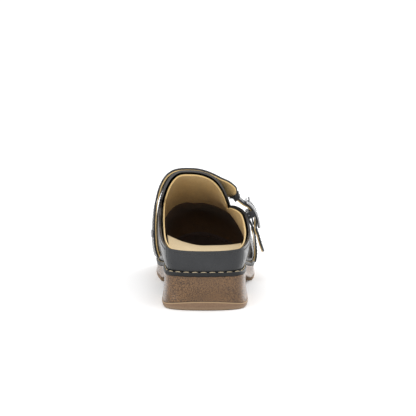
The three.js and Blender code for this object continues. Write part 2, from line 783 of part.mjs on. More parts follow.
// Direction across the strap: it follows the vamp's face up the medial side and over the instep, leans with its
// front edge towards the vamp on the way down, and lies level where it enters the buckle.
const leanStart = 24;                                    // degrees, near the instep
const leanMost = 40;                                     // degrees, just above the buckle
const leanAt = [0.38, 0.6, 0.73];                       // shares of the way from the instep to the bar
function strapAcross(share) {
  if (share < shareAtRidge) {
    const rise = riseAt(-strapStep, strapCurve.getPointAt(share).z, -strapStandAt(0.6));
    return form(-strapStep - 0.35, rise).sub(form(0.35 - strapStep, rise)).normalize();
  }
  const ahead = form(strapStep + 0.35, 1).sub(form(strapStep - 0.35, 1)).normalize();
  const way = (share - shareAtRidge) / (shareAtBar - shareAtRidge);
  const lean = THREE.MathUtils.degToRad(mix(leanStart, leanMost, smooth(leanAt[0], leanAt[1], way))
    * (1 - smooth(leanAt[1], leanAt[2], way)));
  const run = strapCurve.getTangentAt(share);
  const leaning = v3(run.z * Math.sin(lean), Math.cos(lean), -run.x * Math.sin(lean));
  return ahead.lerp(leaning, smooth(0.05, 0.4, way)).normalize();
}

function strapFrame(share) {
  const place = strapCurve.getPointAt(share);
  const run = strapCurve.getTangentAt(share);
  const out = strapAcross(share).cross(run).normalize().negate();
  if (out.dot(v3(place.x * 0.4, 0, 1)) < 0) out.negate();
  const across = run.clone().cross(out).normalize();
  if (across.y < 0) across.negate();
  return { place, run, out, across };
}

function strapSection(share, near, far, width) {
  const { place, out, across } = strapFrame(share);
  const corner = (a, b) => place.clone().addScaledVector(across, a).addScaledVector(out, b);
  return [corner(-width / 2, near), corner(width / 2, near), corner(width / 2, far), corner(-width / 2, far)];
}

const strapStations = 120;
function strapLayer(near, far) {
  const sections = spread(0, 1, strapStations)
    .map((share) => strapSection(share, near, far, strapWidth * (1 - 0.4 * smooth(0.95, 1, share))));
  const line = (left, right) => [left, left.clone().lerp(right, 0.5), right];
  return shell(sections.map(([, , right, left]) => line(left, right)), sections.map(([left, right]) => line(left, right)));
}

const pin = (radius, length, sides = 14) => new THREE.CylinderGeometry(radius, radius, length, sides);

// Rivet with a domed head: its head is at local +Y and its shaft runs to -Y.
function rivet(headRadius, headHigh, shaftRadius, shaftLong) {
  const profile = [new THREE.Vector2(0, headHigh)];
  for (const turn of [25, 50, 72]) {
    const a = THREE.MathUtils.degToRad(turn);
    profile.push(new THREE.Vector2(headRadius * Math.sin(a), headHigh * Math.cos(a)));
  }
  profile.push(new THREE.Vector2(headRadius, 0), new THREE.Vector2(shaftRadius, 0));
  profile.push(new THREE.Vector2(shaftRadius, -shaftLong), new THREE.Vector2(0, -shaftLong));
  return new THREE.LatheGeometry(profile.reverse(), 16);
}

const rivetHeight = 42.5;
const rivetShare = (() => {
  let best = 0;
  for (let i = 0; i <= 200; i += 1) {
    const share = shareAtRidge * i / 200;
    if (strapCurve.getPointAt(share).z <= rivetHeight) best = share;
  }
  return best;
})();
const rivetAt = strapFrame(rivetShare);
const vampAtRivet = form(-strapStep, riseAt(-strapStep, rivetHeight), 0);
const vampReach = rivetAt.place.clone().sub(vampAtRivet).dot(rivetAt.out);
const burrThick = 0.7;
const burrDepth = vampReach + leather + liningGap / 2 - burrThick / 2 + 0.15;
const rivetHole = aimed(pin(rivetShaft + clearance, 30), rivetAt.out, rivetAt.place);
const medialRivet = aimed(
  rivet(rivetHead, 1.9, rivetShaft, strapThick / 2 + clearance + burrDepth + burrThick + 0.3),
  rivetAt.out,
  rivetAt.place.clone().addScaledVector(rivetAt.out, strapThick / 2 + clearance),
);
const medialBurr = aimed(
  cut(pin(2.5, burrThick, 16), pin(rivetShaft + clearance, 3)),
  rivetAt.out,
  rivetAt.place.clone().addScaledVector(rivetAt.out, -burrDepth - burrThick / 2),
);

// The prong swings from the bar, through a slot in the strap, onto the instep rail.
const prongWide = 2 * prongRadius;
const slotWide = prongWide + 1.2;
const prongRest = railOut + railRadius + clearance + prongRadius;
const block = (up0, up1, out0, out1, wide) => {
  const box = new THREE.BoxGeometry(wide, up1 - up0, out1 - out0);
  const basis = new THREE.Matrix4().makeBasis(v3(0, 1, 0), frameUp, v3(0, 1, 0).cross(frameUp));
  const sign = v3(0, 1, 0).cross(frameUp).dot(frameOut) > 0 ? 1 : -1;
  box.translate(0, (up0 + up1) / 2, sign * (out0 + out1) / 2);
  return box.applyMatrix4(basis).translate(bar.x, bar.y, bar.z);
};
const strapSlot = block(-1.2, 9.6, 0.2, 12, slotWide);
const foldSlot = block(-3.2, 6, -6, 12, slotWide + 1.4);

// A band whose width lies along the length of the shoe, from a middle line.
function band(line, count, width, near, far, from = 0, to = 1) {
  const curve = new THREE.CatmullRomCurve3(line, false, 'centripetal');
  return loft(spread(from, to, count).map((share) => {
    const place = curve.getPointAt(share);
    const run = curve.getTangentAt(share);
    const out = v3(0, 1, 0).cross(run).normalize();
    const corner = (a, b) => place.clone().add(v3(0, a, 0)).addScaledVector(out, b);
    return [corner(-width / 2, near), corner(width / 2, near), corner(width / 2, far), corner(-width / 2, far)];
  }));
}

const anchorWidth = strapWidth - 1;
const anchorLine = (() => {
  const foot = upperFoot(outline(strapStep, 0).y);
  const line = [[45.2, foot + 1.5], [46.2, foot + 8], [45.4, foot + 20], [44.2, foot + 28]].map(([x, z]) => v3(x, bar.y, z));
  line.push(onFrame(-8.5, -2), onFrame(-3, -foldRadius));
  for (let turn = 180; turn >= 0; turn -= 30) {
    const a = THREE.MathUtils.degToRad(turn);
    line.push(onFrame(foldRadius * Math.sin(a), -foldRadius * Math.cos(a + Math.PI)));
  }
  line.push(onFrame(-3, foldRadius - 0.5), onFrame(-6.5, 0.6), onFrame(-9.5, -0.2));
  return line;
})();

const anchorLeather = band(anchorLine, 46, anchorWidth, -anchorThick / 2, anchorThick / 2);
const backingNear = -anchorThick / 2 - clearance - strapBacking;
const anchorBacking = band(anchorLine, 26, anchorWidth - 1, backingNear, backingNear + strapBacking, 0.01, 0.5);

// Buckle frame: two rails across and two bowed sides with lugs that hold the bar.
function buckleFrame() {
  const half = strapWidth / 2 + strapSide + railWide / 2;
  const bow = (up) => railOut + railBow * (1 - (up > 0 ? up / railTop : up / railTail) ** 2);
  const line = spread(-railTail, railTop, 8).map((up) => onFrame(up, bow(up)));
  const side = (y) => {
    const sections = line.map((place, i) => {
      const ahead = line[Math.min(line.length - 1, i + 1)].clone().sub(line[Math.max(0, i - 1)]).normalize();
      const out = frameOut.clone().addScaledVector(ahead, -frameOut.dot(ahead)).normalize();
      const corner = (a, b) => place.clone().add(v3(0, y + a, 0)).addScaledVector(out, b);
      const w = railWide / 2;
      const h = railRadius;
      return [corner(-w, -h * 0.5), corner(-w * 0.6, -h), corner(w * 0.6, -h), corner(w, -h * 0.5),
        corner(w, h * 0.5), corner(w * 0.6, h), corner(-w * 0.6, h), corner(-w, h * 0.5)];
    });
    return loft(sections);
  };
  const rail = (up) => aimed(pin(railRadius, 2 * half + railWide * 0.9, 12), v3(0, 1, 0), onFrame(up, railOut));
  const lug = (y) => block(-3, 3, -2.6, railOut + railBow, railWide * 0.94).translate(0, y, 0);
  let solid = toManifold(side(-half));
  for (const piece of [side(half), rail(-railTail), rail(railTop), lug(-half), lug(half)]) {
    solid = solid.add(toManifold(piece));
  }
  const hole = aimed(pin(barRadius + clearance, 2 * half - railWide * 0.1, 16), v3(0, 1, 0), bar);
  return fromManifold(solid.subtract(toManifold(hole)));
}

const barLong = strapWidth + 2 * strapSide + railWide * 0.9 - 2 * clearance;

function prong() {
  const ringOut = barRadius + clearance + 1.1;
  let solid = toManifold(aimed(pin(ringOut, prongWide, 18), v3(0, 1, 0), bar));
  const start = { up: 1.2, out: ringOut - 0.9 };
  const slope = (prongRest - start.out) / (railTop - start.up);
  const from = onFrame(start.up, start.out);
  const to = onFrame(railTop + 2.6, prongRest + slope * 2.6);
  const run = to.clone().sub(from);
  const shaft = new THREE.CylinderGeometry(prongRadius * 0.85, prongRadius, run.length(), 10);
  solid = solid.add(toManifold(aimed(shaft, run, from.clone().add(to).multiplyScalar(0.5))));
  return fromManifold(solid.subtract(toManifold(aimed(pin(barRadius + clearance, 6, 18), v3(0, 1, 0), bar))));
}

// Keeper: a slim loop round the strap, just above the buckle.
const keeperShare = strapShare(onFrame(19.2, -3.1));
function keeper() {
  const half = keeperWidth / 2 / strapCurve.getLength();
  const inner = strapThick / 2 + 3.5 * clearance;
  const outer = inner + keeperThick;
  const ring = (reach, out, wide) => loft(spread(keeperShare - reach, keeperShare + reach, 8)
    .map((share) => strapSection(share, -out, out, wide)));
  const hole = ring(half * 1.3, inner, strapWidth + 3 * clearance);
  return cut(ring(half, outer, strapWidth + 2 * (clearance + keeperThick)), hole);
}

// ---- Assembly -----------------------------------------------------------------------------------------

add('wooden_sole', woodenSole(), colours.wood, 0.55);
add('heel_outsole', heelOutsole(), colours.rubber, 0.7);
add('forefoot_outsole', forefootOutsole(), colours.rubber, 0.7);
add('welt', welt(), colours.leather, 0.5);
add('welt_thread', weltThread(), colours.cream, 0.8);
add('footbed', footbed(), colours.brown, 0.9);
add('heel_sock', heelSock(), colours.cream, 0.7);
add('medial_quarter', quarter(-1), colours.leather, 0.45);
add('lateral_quarter', quarter(1), colours.leather, 0.45);
add('heel_counter', heelCounter(), colours.leather, 0.45);
add('quarter_lining', quarterLining(), colours.tan, 0.8);
add('heel_stiffener', heelStiffener(), colours.dark, 0.8);
add('vamp', cut(vamp(), rivetHole), colours.leather, 0.45);
add('vamp_lining', vampLining(), colours.tan, 0.8);
add('toe_lining', toeLining(), colours.brown, 0.9);
add('toe_puff', toePuff(), colours.dark, 0.8);
add('instep_strap', cut(
  strapLayer(strapThick / 2 - strapLeather, strapThick / 2), strapSlot, rivetHole,
), colours.leather, 0.45);
add('strap_lining', cut(
  strapLayer(-strapThick / 2, -strapThick / 2 + strapBacking), strapSlot, rivetHole,
), colours.tan, 0.8);
add('strap_keeper', keeper(), colours.leather, 0.45);
add('medial_rivet', medialRivet, colours.steel, 0.3, 1);
add('medial_burr', medialBurr, colours.steel, 0.4, 1);
add('anchor_strap', cut(anchorLeather, foldSlot), colours.leather, 0.45);
add('anchor_lining', anchorBacking, colours.tan, 0.8);
add('buckle_frame', buckleFrame(), colours.steel, 0.25, 1);
add('buckle_bar', aimed(pin(barRadius, barLong, 16), v3(0, 1, 0), bar), colours.steel, 0.3, 1);
add('buckle_prong', prong(), colours.steel, 0.3, 1);

export default group;
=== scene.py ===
# A right-foot wooden clog, put together in the order a clog maker works: sole and treads, footbed, lining,
# leather upper, welt and its stitching, then the instep strap with its buckle.
# Geometry is worked out in millimetres and set down in metres.
import math

import bmesh
import bpy
from mathutils import Matrix, Vector


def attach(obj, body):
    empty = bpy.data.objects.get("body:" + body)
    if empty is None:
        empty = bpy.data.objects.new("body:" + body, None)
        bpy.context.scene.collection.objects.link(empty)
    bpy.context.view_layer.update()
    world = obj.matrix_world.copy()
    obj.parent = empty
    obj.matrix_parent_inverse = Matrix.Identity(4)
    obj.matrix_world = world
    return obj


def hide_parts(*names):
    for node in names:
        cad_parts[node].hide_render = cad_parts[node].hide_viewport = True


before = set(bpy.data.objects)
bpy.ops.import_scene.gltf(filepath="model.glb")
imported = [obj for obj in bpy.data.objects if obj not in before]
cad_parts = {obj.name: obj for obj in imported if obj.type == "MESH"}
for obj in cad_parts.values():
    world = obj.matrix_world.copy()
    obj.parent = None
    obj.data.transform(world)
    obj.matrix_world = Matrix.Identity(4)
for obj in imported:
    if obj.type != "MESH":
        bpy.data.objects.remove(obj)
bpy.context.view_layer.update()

# ---- Camera -------------------------------------------------------------------------------------
# It stands a metre and a half behind the heel, a little above it, with a long lens.
scene = bpy.context.scene
camera = bpy.data.objects.new("camera", bpy.data.cameras.new("camera"))
camera.data.sensor_width = 36
camera.data.lens = 157.3
camera.data.clip_end = 30
camera.location = (0.0027, -1.5086, 0.2877)
camera.rotation_euler = (math.radians(82.2), 0, 0)
scene.collection.objects.link(camera)
scene.camera = camera
scene.view_settings.view_transform = "Standard"


# ---- Floor and light ----------------------------------------------------------------------------
# A plain white sweep, bright all round. A broad soft panel stands ahead on the right, with a weaker one at the
# left and one overhead.
def finish(name):
    material = bpy.data.materials.new(name)
    material.use_nodes = True
    return material, material.node_tree, material.node_tree.nodes["Principled BSDF"]


def node(tree, kind, inputs=None, **settings):
    made = tree.nodes.new("ShaderNode" + kind)
    for key, value in settings.items():
        setattr(made, key, value)
    for key, value in (inputs or {}).items():
        if isinstance(value, bpy.types.NodeSocket):
            tree.links.new(value, made.inputs[key])
        else:
            made.inputs[key].default_value = value
    return made


def blend(tree, share, one, other, how="MIX"):
    return node(tree, "MixRGB", {"Fac": share, "Color1": one, "Color2": other}, blend_type=how)


sweep = bpy.data.meshes.new("floor")
sweep.from_pydata([(-6, -4, 0), (6, -4, 0), (6, 9, 0), (-6, 9, 0)], [], [(0, 1, 2, 3)])
floor = bpy.data.objects.new("floor", sweep)
scene.collection.objects.link(floor)
paper, tree, shader = finish("white_paper")
cloud = node(tree, "TexNoise", {"Scale": 3.0})
shade = blend(tree, cloud.outputs["Fac"], (0.97, 0.97, 0.97, 1), (1, 1, 1, 1))
tree.links.new(shade.outputs[0], shader.inputs["Base Color"])
shader.inputs["Roughness"].default_value = 0.9
shader.inputs["Specular IOR Level"].default_value = 0.1
sweep.materials.append(paper)

world = bpy.data.worlds.new("studio")
world.use_nodes = True
world.node_tree.nodes["Background"].inputs["Color"].default_value = (1, 1, 1, 1)
world.node_tree.nodes["Background"].inputs["Strength"].default_value = 1.08
scene.world = world


def panel(name, place, aim, size, watts):
    lamp = bpy.data.lights.new(name, "AREA")
    lamp.shape = "RECTANGLE"
    lamp.size, lamp.size_y = size
    lamp.energy = watts
    holder = bpy.data.objects.new(name, lamp)
    holder.location = place
    holder.rotation_euler = (Vector(aim) - Vector(place)).to_track_quat("-Z", "Y").to_euler()
    scene.collection.objects.link(holder)


panel("panel_left", (-0.9, -0.5, 0.45), (0, 0.05, 0.06), (0.5, 0.9), 1.2)
panel("panel_right", (0.75, 0.85, 0.3), (0, 0.05, 0.06), (0.6, 0.9), 9)
panel("panel_over", (-0.1, -0.2, 1.1), (0, 0.08, 0.05), (0.9, 0.9), 3)


# ---- Wooden sole --------------------------------------------------------------------------------
# One block of stained wood with a square heel, a thin arched shank and a forefoot that lifts at the toe.
# It is carved, sanded and stained: end grain shows as fine specks at the back, long grain on the sides.
sole_length, heel_width, ball_width, heel_overhang = 255, 70, 90, 33
heel_top, ball_top, toe_spring, rocker_start = 28, 12, 11, 150
arch_height, heel_breast, heel_flare, wood_waist = 12, 42, 1.3, 0.9
tread_middle, tread_corner, forefoot_tread = 7.6, 4.3, 3.4
clearance = 0.3
toe_step = 13
# A row for each step: the outer edge's place, as shares of half the width and of the length, then the inner's.
outline_steps = [
    (0, 0, 0, 0), (0.543, 0.009, -0.543, 0.009), (0.886, 0.041, -0.886, 0.041), (0.991, 0.118, -0.983, 0.112),
    (0.994, 0.227, -0.989, 0.2), (0.979, 0.325, -0.971, 0.294), (0.953, 0.435, -0.931, 0.404),
    (0.98, 0.533, -0.914, 0.514), (1.004, 0.631, -0.96, 0.62), (0.989, 0.737, -1.0, 0.725),
    (0.856, 0.847, -0.967, 0.827), (0.578, 0.933, -0.822, 0.918), (0.2, 0.988, -0.556, 0.976),
    (-0.178, 1, -0.178, 1),
]


def mix(a, b, share):
    return a + (b - a) * share


def smooth(a, b, x):
    t = min(1.0, max(0.0, (x - a) / (b - a)))
    return t * t * (3 - 2 * t)


def spread(first, last, count):
    return [mix(first, last, i / count) for i in range(count + 1)]


def outline_point(wide, far):
    y = far * sole_length - heel_overhang
    return Vector((wide * mix(heel_width, ball_width, smooth(40, 130, y)) / 2, y))


round_points = [outline_point(row[0], row[1]) for row in outline_steps]
round_points += [outline_point(row[2], row[3]) for row in outline_steps[-2:0:-1]]


def on_round(at):
    i = math.floor(at)
    t = at - i
    p0, p1, p2, p3 = (round_points[(i + k) % len(round_points)] for k in (-1, 0, 1, 2))
    a, b = (p2 - p0) * 0.5, (p3 - p1) * 0.5
    return p1 + a * t + ((p2 - p1) * 3 - a * 2 - b) * t * t + ((p1 - p2) * 2 + a + b) * t ** 3


def outline(step, inset=0.0):
    """The sole's edge: step 0 is the heel's back, + goes round the outer side, - the inner, 13 is the toe."""
    here = on_round(step)
    if inset:
        run = on_round(step + 0.013) - on_round(step - 0.013)
        here = here + Vector((-run.y, run.x)).normalized() * inset
    return here


def lift(y):
    return toe_spring * max(0.0, (y - rocker_start) / (sole_length - heel_overhang - rocker_start)) ** 2


def wood_top(y):
    return mix(heel_top, ball_top, smooth(22, 128, y)) + lift(y)


def tread_top(x):
    return mix(tread_middle, tread_corner, min(1.0, abs(x) / (heel_width / 2)) ** 2)


def wood_bottom(x, y):
    if y <= heel_breast:
        return tread_top(x) + clearance
    shank = mix(arch_height, forefoot_tread + clearance, smooth(heel_breast + 22, 108, y))
    return mix(tread_top(x) + clearance, shank, smooth(heel_breast, heel_breast + 7, y)) + lift(y)


def set_down(name, points, faces):
    """Sets a smooth mesh down in metres."""
    mesh = bpy.data.meshes.new(name)
    mesh.from_pydata([p / 1000 for p in points], [], faces)
    for polygon in mesh.polygons:
        polygon.use_smooth = True
    piece = bpy.data.objects.new(name, mesh)
    scene.collection.objects.link(piece)
    return piece


def carve(name, points, faces):
    """A closed piece: points that meet are joined and its faces turned outwards."""
    piece = set_down(name, points, faces)
    work = bmesh.new()
    work.from_mesh(piece.data)
    bmesh.ops.remove_doubles(work, verts=work.verts, dist=2e-6)
    bmesh.ops.recalc_face_normals(work, faces=work.faces)
    work.to_mesh(piece.data)
    work.free()
    return piece


def soften(piece, radius, segments=3, angle=38):
    """Rounds the piece's sharp edges by a radius in millimetres."""
    edge = piece.modifiers.new("rounded_edge", "BEVEL")
    edge.width = radius / 1000
    edge.segments = segments
    edge.limit_method = "ANGLE"
    edge.angle_limit = math.radians(angle)
    piece.modifiers.new("even_shading", "WEIGHTED_NORMAL")


def slab(name, steps, across, rings, low, high, shut=(False, False)):
    """A closed slab on the outline; rings(step) gives its edge points from the bottom up.

    low and high give the bottom's and the top's height from a place, its share across (+1 outer side, -1 inner)
    and its step; shut says which ends need a wall.
    """
    sides = [[rings(step), rings(-step)] for step in steps]
    levels, last_row = len(sides[0][0]), len(steps) - 1
    points, faces = [], []

    def put(p):
        points.append(p)
        return len(points) - 1

    edge = [[[put(p) for p in side] for side in pair] for pair in sides]

    def cap(level, height):
        grid = []
        for i, (right, left) in enumerate(sides):
            line = [edge[i][0][level]]
            for k in range(1, across):
                p = right[level].lerp(left[level], k / across)
                p.z = height(p, 1 - 2 * k / across, steps[i])
                line.append(put(p))
            grid.append(line + [edge[i][1][level]])
        for i in range(last_row):
            for k in range(across):
                faces.append((grid[i][k], grid[i + 1][k], grid[i + 1][k + 1], grid[i][k + 1]))
        return grid

    bottom, top = cap(0, low), cap(levels - 1, high)
    for i in range(last_row):
        for side in (0, 1):
            for n in range(levels - 1):
                a, b = edge[i][side], edge[i + 1][side]
                faces.append((a[n], b[n], b[n + 1], a[n + 1]))
    for end, needed in zip((0, last_row), shut):
        if needed and levels == 2:
            for k in range(across):
                faces.append((bottom[end][k], top[end][k], top[end][k + 1], bottom[end][k + 1]))
        elif needed:
            faces.append(tuple(bottom[end] + edge[end][1][1:-1] + top[end][::-1] + edge[end][0][-2:0:-1]))
    return carve(name, points, faces)


def wood_edge(step):
    edge = outline(step)
    low, high = wood_bottom(edge.x, edge.y), wood_top(edge.y)
    grown = heel_flare * (1 - smooth(heel_breast, heel_breast + 28, edge.y))
    line = []
    for share in (0, 0.02, 0.06, 0.14, 0.26, 0.4, 0.54, 0.68, 0.8, 0.9, 0.965, 1):
        waist = wood_waist * math.sin(math.pi * share) ** 0.8
        nip = 0.5 * (1 - smooth(0, 0.06, share)) + 0.4 * smooth(0.93, 1, share)
        p = outline(step, waist + nip - grown * (1 - share) ** 1.4)
        line.append(Vector((p.x, p.y, mix(low, high, share))))
    return line


sole = slab(
    "carved_sole", spread(0, toe_step, 150), 20, wood_edge,
    lambda p, share, step: wood_bottom(p.x, p.y), lambda p, share, step: wood_top(p.y),
)


def ramp(tree, share, *stops):
    """Colours a value; each stop gives a place on it and its colour."""
    made = node(tree, "ValToRGB", {"Fac": share})
    for element, (position, colour) in zip(made.color_ramp.elements, stops):
        element.position, element.color = position, colour
    return made


def noise(tree, where, scale, **more):
    return node(tree, "TexNoise", {"Vector": where, "Scale": scale, **more})


def graded(tree, value, low, high, start=0.0, end=1.0):
    """Turns a value between start and end into one between low and high."""
    limits = {"From Min": start, "From Max": end, "To Min": low, "To Max": high}
    return node(tree, "MapRange", {"Value": value, **limits})


def emboss(tree, shader, height, strength, deep):
    relief = node(tree, "Bump", {"Strength": strength, "Distance": deep, "Height": height})
    tree.links.new(relief.outputs[0], shader.inputs["Normal"])


stained_wood, tree, shader = finish("stained_wood")
place = node(tree, "TexCoord")
long_grain = node(tree, "Mapping", {"Vector": place.outputs["Object"], "Scale": (1.0, 0.09, 1.0)})
specks = noise(tree, long_grain.outputs[0], 1350.0, Detail=3.0, Roughness=0.7)
pores = node(tree, "TexVoronoi", {"Vector": long_grain.outputs[0], "Scale": 950.0})
rings = noise(tree, long_grain.outputs[0], 95.0, Detail=4.0, Distortion=1.2)
stain = noise(tree, place.outputs["Object"], 26.0, Detail=2.0)
dark_speck, light_speck = (0.032, 0.014, 0.0045, 1), (0.215, 0.112, 0.042, 1)
speck_tone = ramp(tree, specks.outputs["Fac"], (0.43, dark_speck), (0.575, light_speck))
ring_tone = ramp(tree, rings.outputs["Fac"], (0.35, (0.72, 0.7, 0.68, 1)), (0.65, (1.1, 1.08, 1.05, 1)))
tone = blend(tree, 0.75, speck_tone.outputs[0], ring_tone.outputs[0], "MULTIPLY")
pore_dark = graded(tree, pores.outputs["Distance"], 0.55, 1.0, 0.0, 0.28)
tone = blend(tree, 1.0, tone.outputs[0], pore_dark.outputs[0], "MULTIPLY")
stain_share = graded(tree, stain.outputs["Fac"], 0.0, 0.2, 0.35, 0.7)
tone = blend(tree, stain_share.outputs[0], tone.outputs[0], (0.165, 0.085, 0.034, 1))
tree.links.new(tone.outputs[0], shader.inputs["Base Color"])
satin = graded(tree, specks.outputs["Fac"], 0.5, 0.34)
tree.links.new(satin.outputs[0], shader.inputs["Roughness"])
shader.inputs["Specular IOR Level"].default_value = 0.3
shader.inputs["Coat Weight"].default_value = 0.45
shader.inputs["Coat Roughness"].default_value = 0.16
emboss(tree, shader, specks.outputs["Fac"], 0.35, 0.0002)
sole.data.materials.append(stained_wood)
soften(sole, 0.5, 2, 50)
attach(sole, "shoe")
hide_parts("wooden_sole")


# ---- Treads -------------------------------------------------------------------------------------
# Two pieces of moulded tan rubber glued under the wood: the heel piece is thickest in the middle of its back,
# so that its top line arches, and the forefoot piece follows the toe's lift. Both have rounded lower edges.
def heel_tread_edge(step):
    edge = outline(step)
    line = []
    for inset, share in (
        (3.6, 0), (2.0, 0.02), (0.9, 0.1), (0.25, 0.25), (-0.05, 0.45), (-0.05, 0.7), (0.05, 0.93), (0.35, 1),
    ):
        p = outline(step, inset - heel_flare)
        line.append(Vector((p.x, p.y, tread_top(edge.x) * share)))
    return line


def forefoot_tread_edge(step):
    edge = outline(step)
    line = []
    for inset, share in ((2.6, 0), (1.4, 0.03), (0.7, 0.14), (0.25, 0.35), (0.1, 0.6), (0.15, 0.92), (0.4, 1)):
        p = outline(step, inset)
        line.append(Vector((p.x, p.y, lift(edge.y) + forefoot_tread * share)))
    return line


def step_at(y):
    low, high = 0.0, float(toe_step)
    for _ in range(30):
        middle = (low + high) / 2
        if (on_round(middle).y + on_round(-middle).y) / 2 < y:
            low = middle
        else:
            high = middle
    return low


line_below, line_half = 0.4, 0.32


def work_out(tree, how, *values):
    return node(tree, "Math", dict(enumerate(values)), operation=how)


def rubber(name, top_highlight):
    """Moulded crumb rubber; the last argument says how much lighter a painted highlight along its upper edge
    is, under the heel.
    """
    material, tree, shader = finish(name)
    place = node(tree, "TexCoord")
    height = node(tree, "SeparateXYZ", {"Vector": place.outputs["Object"]})
    crumb = noise(tree, place.outputs["Object"], 900.0, Detail=3.0)
    smear = noise(tree, place.outputs["Object"], 60.0, Detail=2.0)
    crumb_tone = blend(tree, crumb.outputs["Fac"], (0.15, 0.088, 0.048, 1), (0.25, 0.155, 0.092, 1))
    # Lighter towards the bottom edge, over its lowest few millimetres.
    lighter_below = graded(tree, height.outputs["Z"], 0.6, 0.0, 0.0005, 0.0035)
    tone = blend(tree, lighter_below.outputs[0], crumb_tone.outputs[0], (0.36, 0.26, 0.165, 1))
    # A painted highlight: a thin lighter line along the arched top edge, where the wood meets the rubber.
    spread_out = work_out(tree, "MULTIPLY", height.outputs["X"], height.outputs["X"])
    fall = (tread_corner - tread_middle) / 1000 / (heel_width / 2000) ** 2
    top_edge = work_out(tree, "MULTIPLY_ADD", spread_out.outputs[0], fall, (tread_middle - line_below) / 1000)
    on_top_highlight = work_out(tree, "COMPARE", height.outputs["Z"], top_edge.outputs[0], line_half / 1000)
    top_highlight_share = work_out(tree, "MULTIPLY", on_top_highlight.outputs[0], top_highlight)
    tone = blend(tree, top_highlight_share.outputs[0], tone.outputs[0], (0.5, 0.35, 0.19, 1))
    tree.links.new(tone.outputs[0], shader.inputs["Base Color"])
    dull = graded(tree, smear.outputs["Fac"], 0.55, 0.8)
    tree.links.new(dull.outputs[0], shader.inputs["Roughness"])
    emboss(tree, shader, crumb.outputs["Fac"], 0.25, 0.0002)
    return material


heel_tread_back, forefoot_tread_start = 1.5, 108
heel_tread = slab(
    "heel_tread", spread(0, step_at(heel_breast - heel_tread_back), 60), 24, heel_tread_edge,
    lambda p, share, step: 0.0, lambda p, share, step: tread_top(p.x), (False, True),
)
forefoot_piece = slab(
    "forefoot_tread", spread(step_at(forefoot_tread_start), toe_step, 110), 20, forefoot_tread_edge,
    lambda p, share, step: lift(p.y), lambda p, share, step: lift(p.y) + forefoot_tread, (True, False),
)
# Only the heel tread gets the painted highlight line along its top.
for tread, cad_name, top_highlight in ((heel_tread, "heel_outsole", 0.6), (forefoot_piece, "forefoot_outsole", 0.0)):
    tread.data.materials.append(rubber(cad_name + "_rubber", top_highlight))
    soften(tread, 0.4, 2, 50)
    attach(tread, "shoe")
    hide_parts(cad_name)


# ---- The last: the form that the upper is pulled over -------------------------------------------
# Wall lines rise from the welt to one line over the instep; every leather and lining piece lies on them at its
# own depth. The collar, the tongue and the seams are drawn on this form.
welt_thick, upper_inset, leather_thick, lining_gap, lining_thick = 3.2, 2.6, 1.8, 2.0, 1.2
top_x = [0, 0, -1, -3, -6, -10, -13, -15, -14, -12, -10, -9, -8.5, -8]
top_y = [-8, -7, 0, 10, 27, 48, 74, 98, 121, 143, 162, 176, 185, 189]
top_z = [92, 93, 95, 98, 102, 104.5, 105.4, 100.8, 90.4, 77.6, 67.6, 61.8, 59.2, 58.6]
round_outer = [3.2, 3.2, 3.2, 3.2, 3.2, 3.1, 2.7, 1.75, 1.45, 1.8, 1.95, 2.1, 2.2, 2.2]
round_inner = [3.2, 3.2, 3.2, 3.2, 3.2, 3.4, 3.8, 4.0, 3.3, 2.6, 2.3, 2.2, 2.2, 2.2]
shoulder_outer = [0, 0, 0, 0, 0, 0, 0, 0.45, 0.3, 0, 0, 0, 0, 0]
bulge_outer = [1, 1.5, 3, 4.4, 6.8, 8.2, 6, 4, 4.8, 4.6, 4, 3.2, 3, 3]
bulge_inner = [1, 1.5, 3, 4.4, 6.4, 8.2, 8.4, 6.8, 5, 4.4, 3.8, 3.2, 3, 3]
collar_outer = [49.4, 49.8, 51, 52.1, 52.8, 55.4, 63.4, 69, 66.4]
collar_inner = [49.4, 49.8, 51.2, 53.1, 54.4, 55.4, 59.7, 74.2, 90.5]
notch_outer, notch_inner, foot_outer, foot_inner, tongue_tip = 7.55, 7.1, 8.25, 7.75, 6.79
vamp_gap, foot_short = 0.008, 0.05


def along(values, at):
    last = len(values) - 1
    i = min(last - 1, max(0, math.floor(at)))
    t = at - i
    p0, p1, p2, p3 = values[max(0, i - 1)], values[i], values[i + 1], values[min(last, i + 2)]
    a, b = (p2 - p0) / 2, (p3 - p1) / 2
    return p1 + a * t + (3 * (p2 - p1) - 2 * a - b) * t * t + (2 * (p1 - p2) + a + b) * t ** 3


def upper_foot(y):
    return wood_top(y) + welt_thick + 2 * clearance


def form(step, rise, depth=0.0):
    """A point of the upper's outer face, moved inwards by depth; rise goes from 0 at the welt to 1 on top."""
    at = abs(step)
    edge, base = outline(step), outline(step, upper_inset + depth)
    away = edge - outline(step, 1.0)
    foot = upper_foot(edge.y)
    if step >= 0:
        power = along(round_outer, at) + along(shoulder_outer, at) * smooth(0.5, 0.8, rise)
    else:
        power = along(round_inner, at)
    c, s = max(math.cos(rise * math.pi / 2), 1e-9), max(math.sin(rise * math.pi / 2), 1e-9)
    r = (c ** power + s ** power) ** (-1 / power)
    inward, up = 1 - r * c, r * s
    high = min(1.0, max(0.0, up))
    out = along(bulge_outer if step >= 0 else bulge_inner, at) * (1 - (1 - high) ** 9) * (1 - high ** 4)
    return Vector((
        mix(base.x, along(top_x, at), inward) + away.x * out,
        mix(base.y, along(top_y, at), inward) + away.y * out,
        mix(foot, along(top_z, at) - depth, up),
    ))


def rise_at(step, height, depth=0.0):
    low, high = 0.0, 1.0
    for _ in range(22):
        middle = (low + high) / 2
        if form(step, middle, depth).z < height:
            low = middle
        else:
            high = middle
    return (low + high) / 2


notch_rise_outer = rise_at(notch_outer, along(collar_outer, notch_outer))
notch_rise_inner = rise_at(-notch_inner, along(collar_inner, notch_inner))


def side(step):
    """The notch, the seam's foot, the notch's rise and the collar line of the side that a step is on."""
    if step >= 0:
        return notch_outer, foot_outer, notch_rise_outer, collar_outer
    return notch_inner, foot_inner, notch_rise_inner, collar_inner


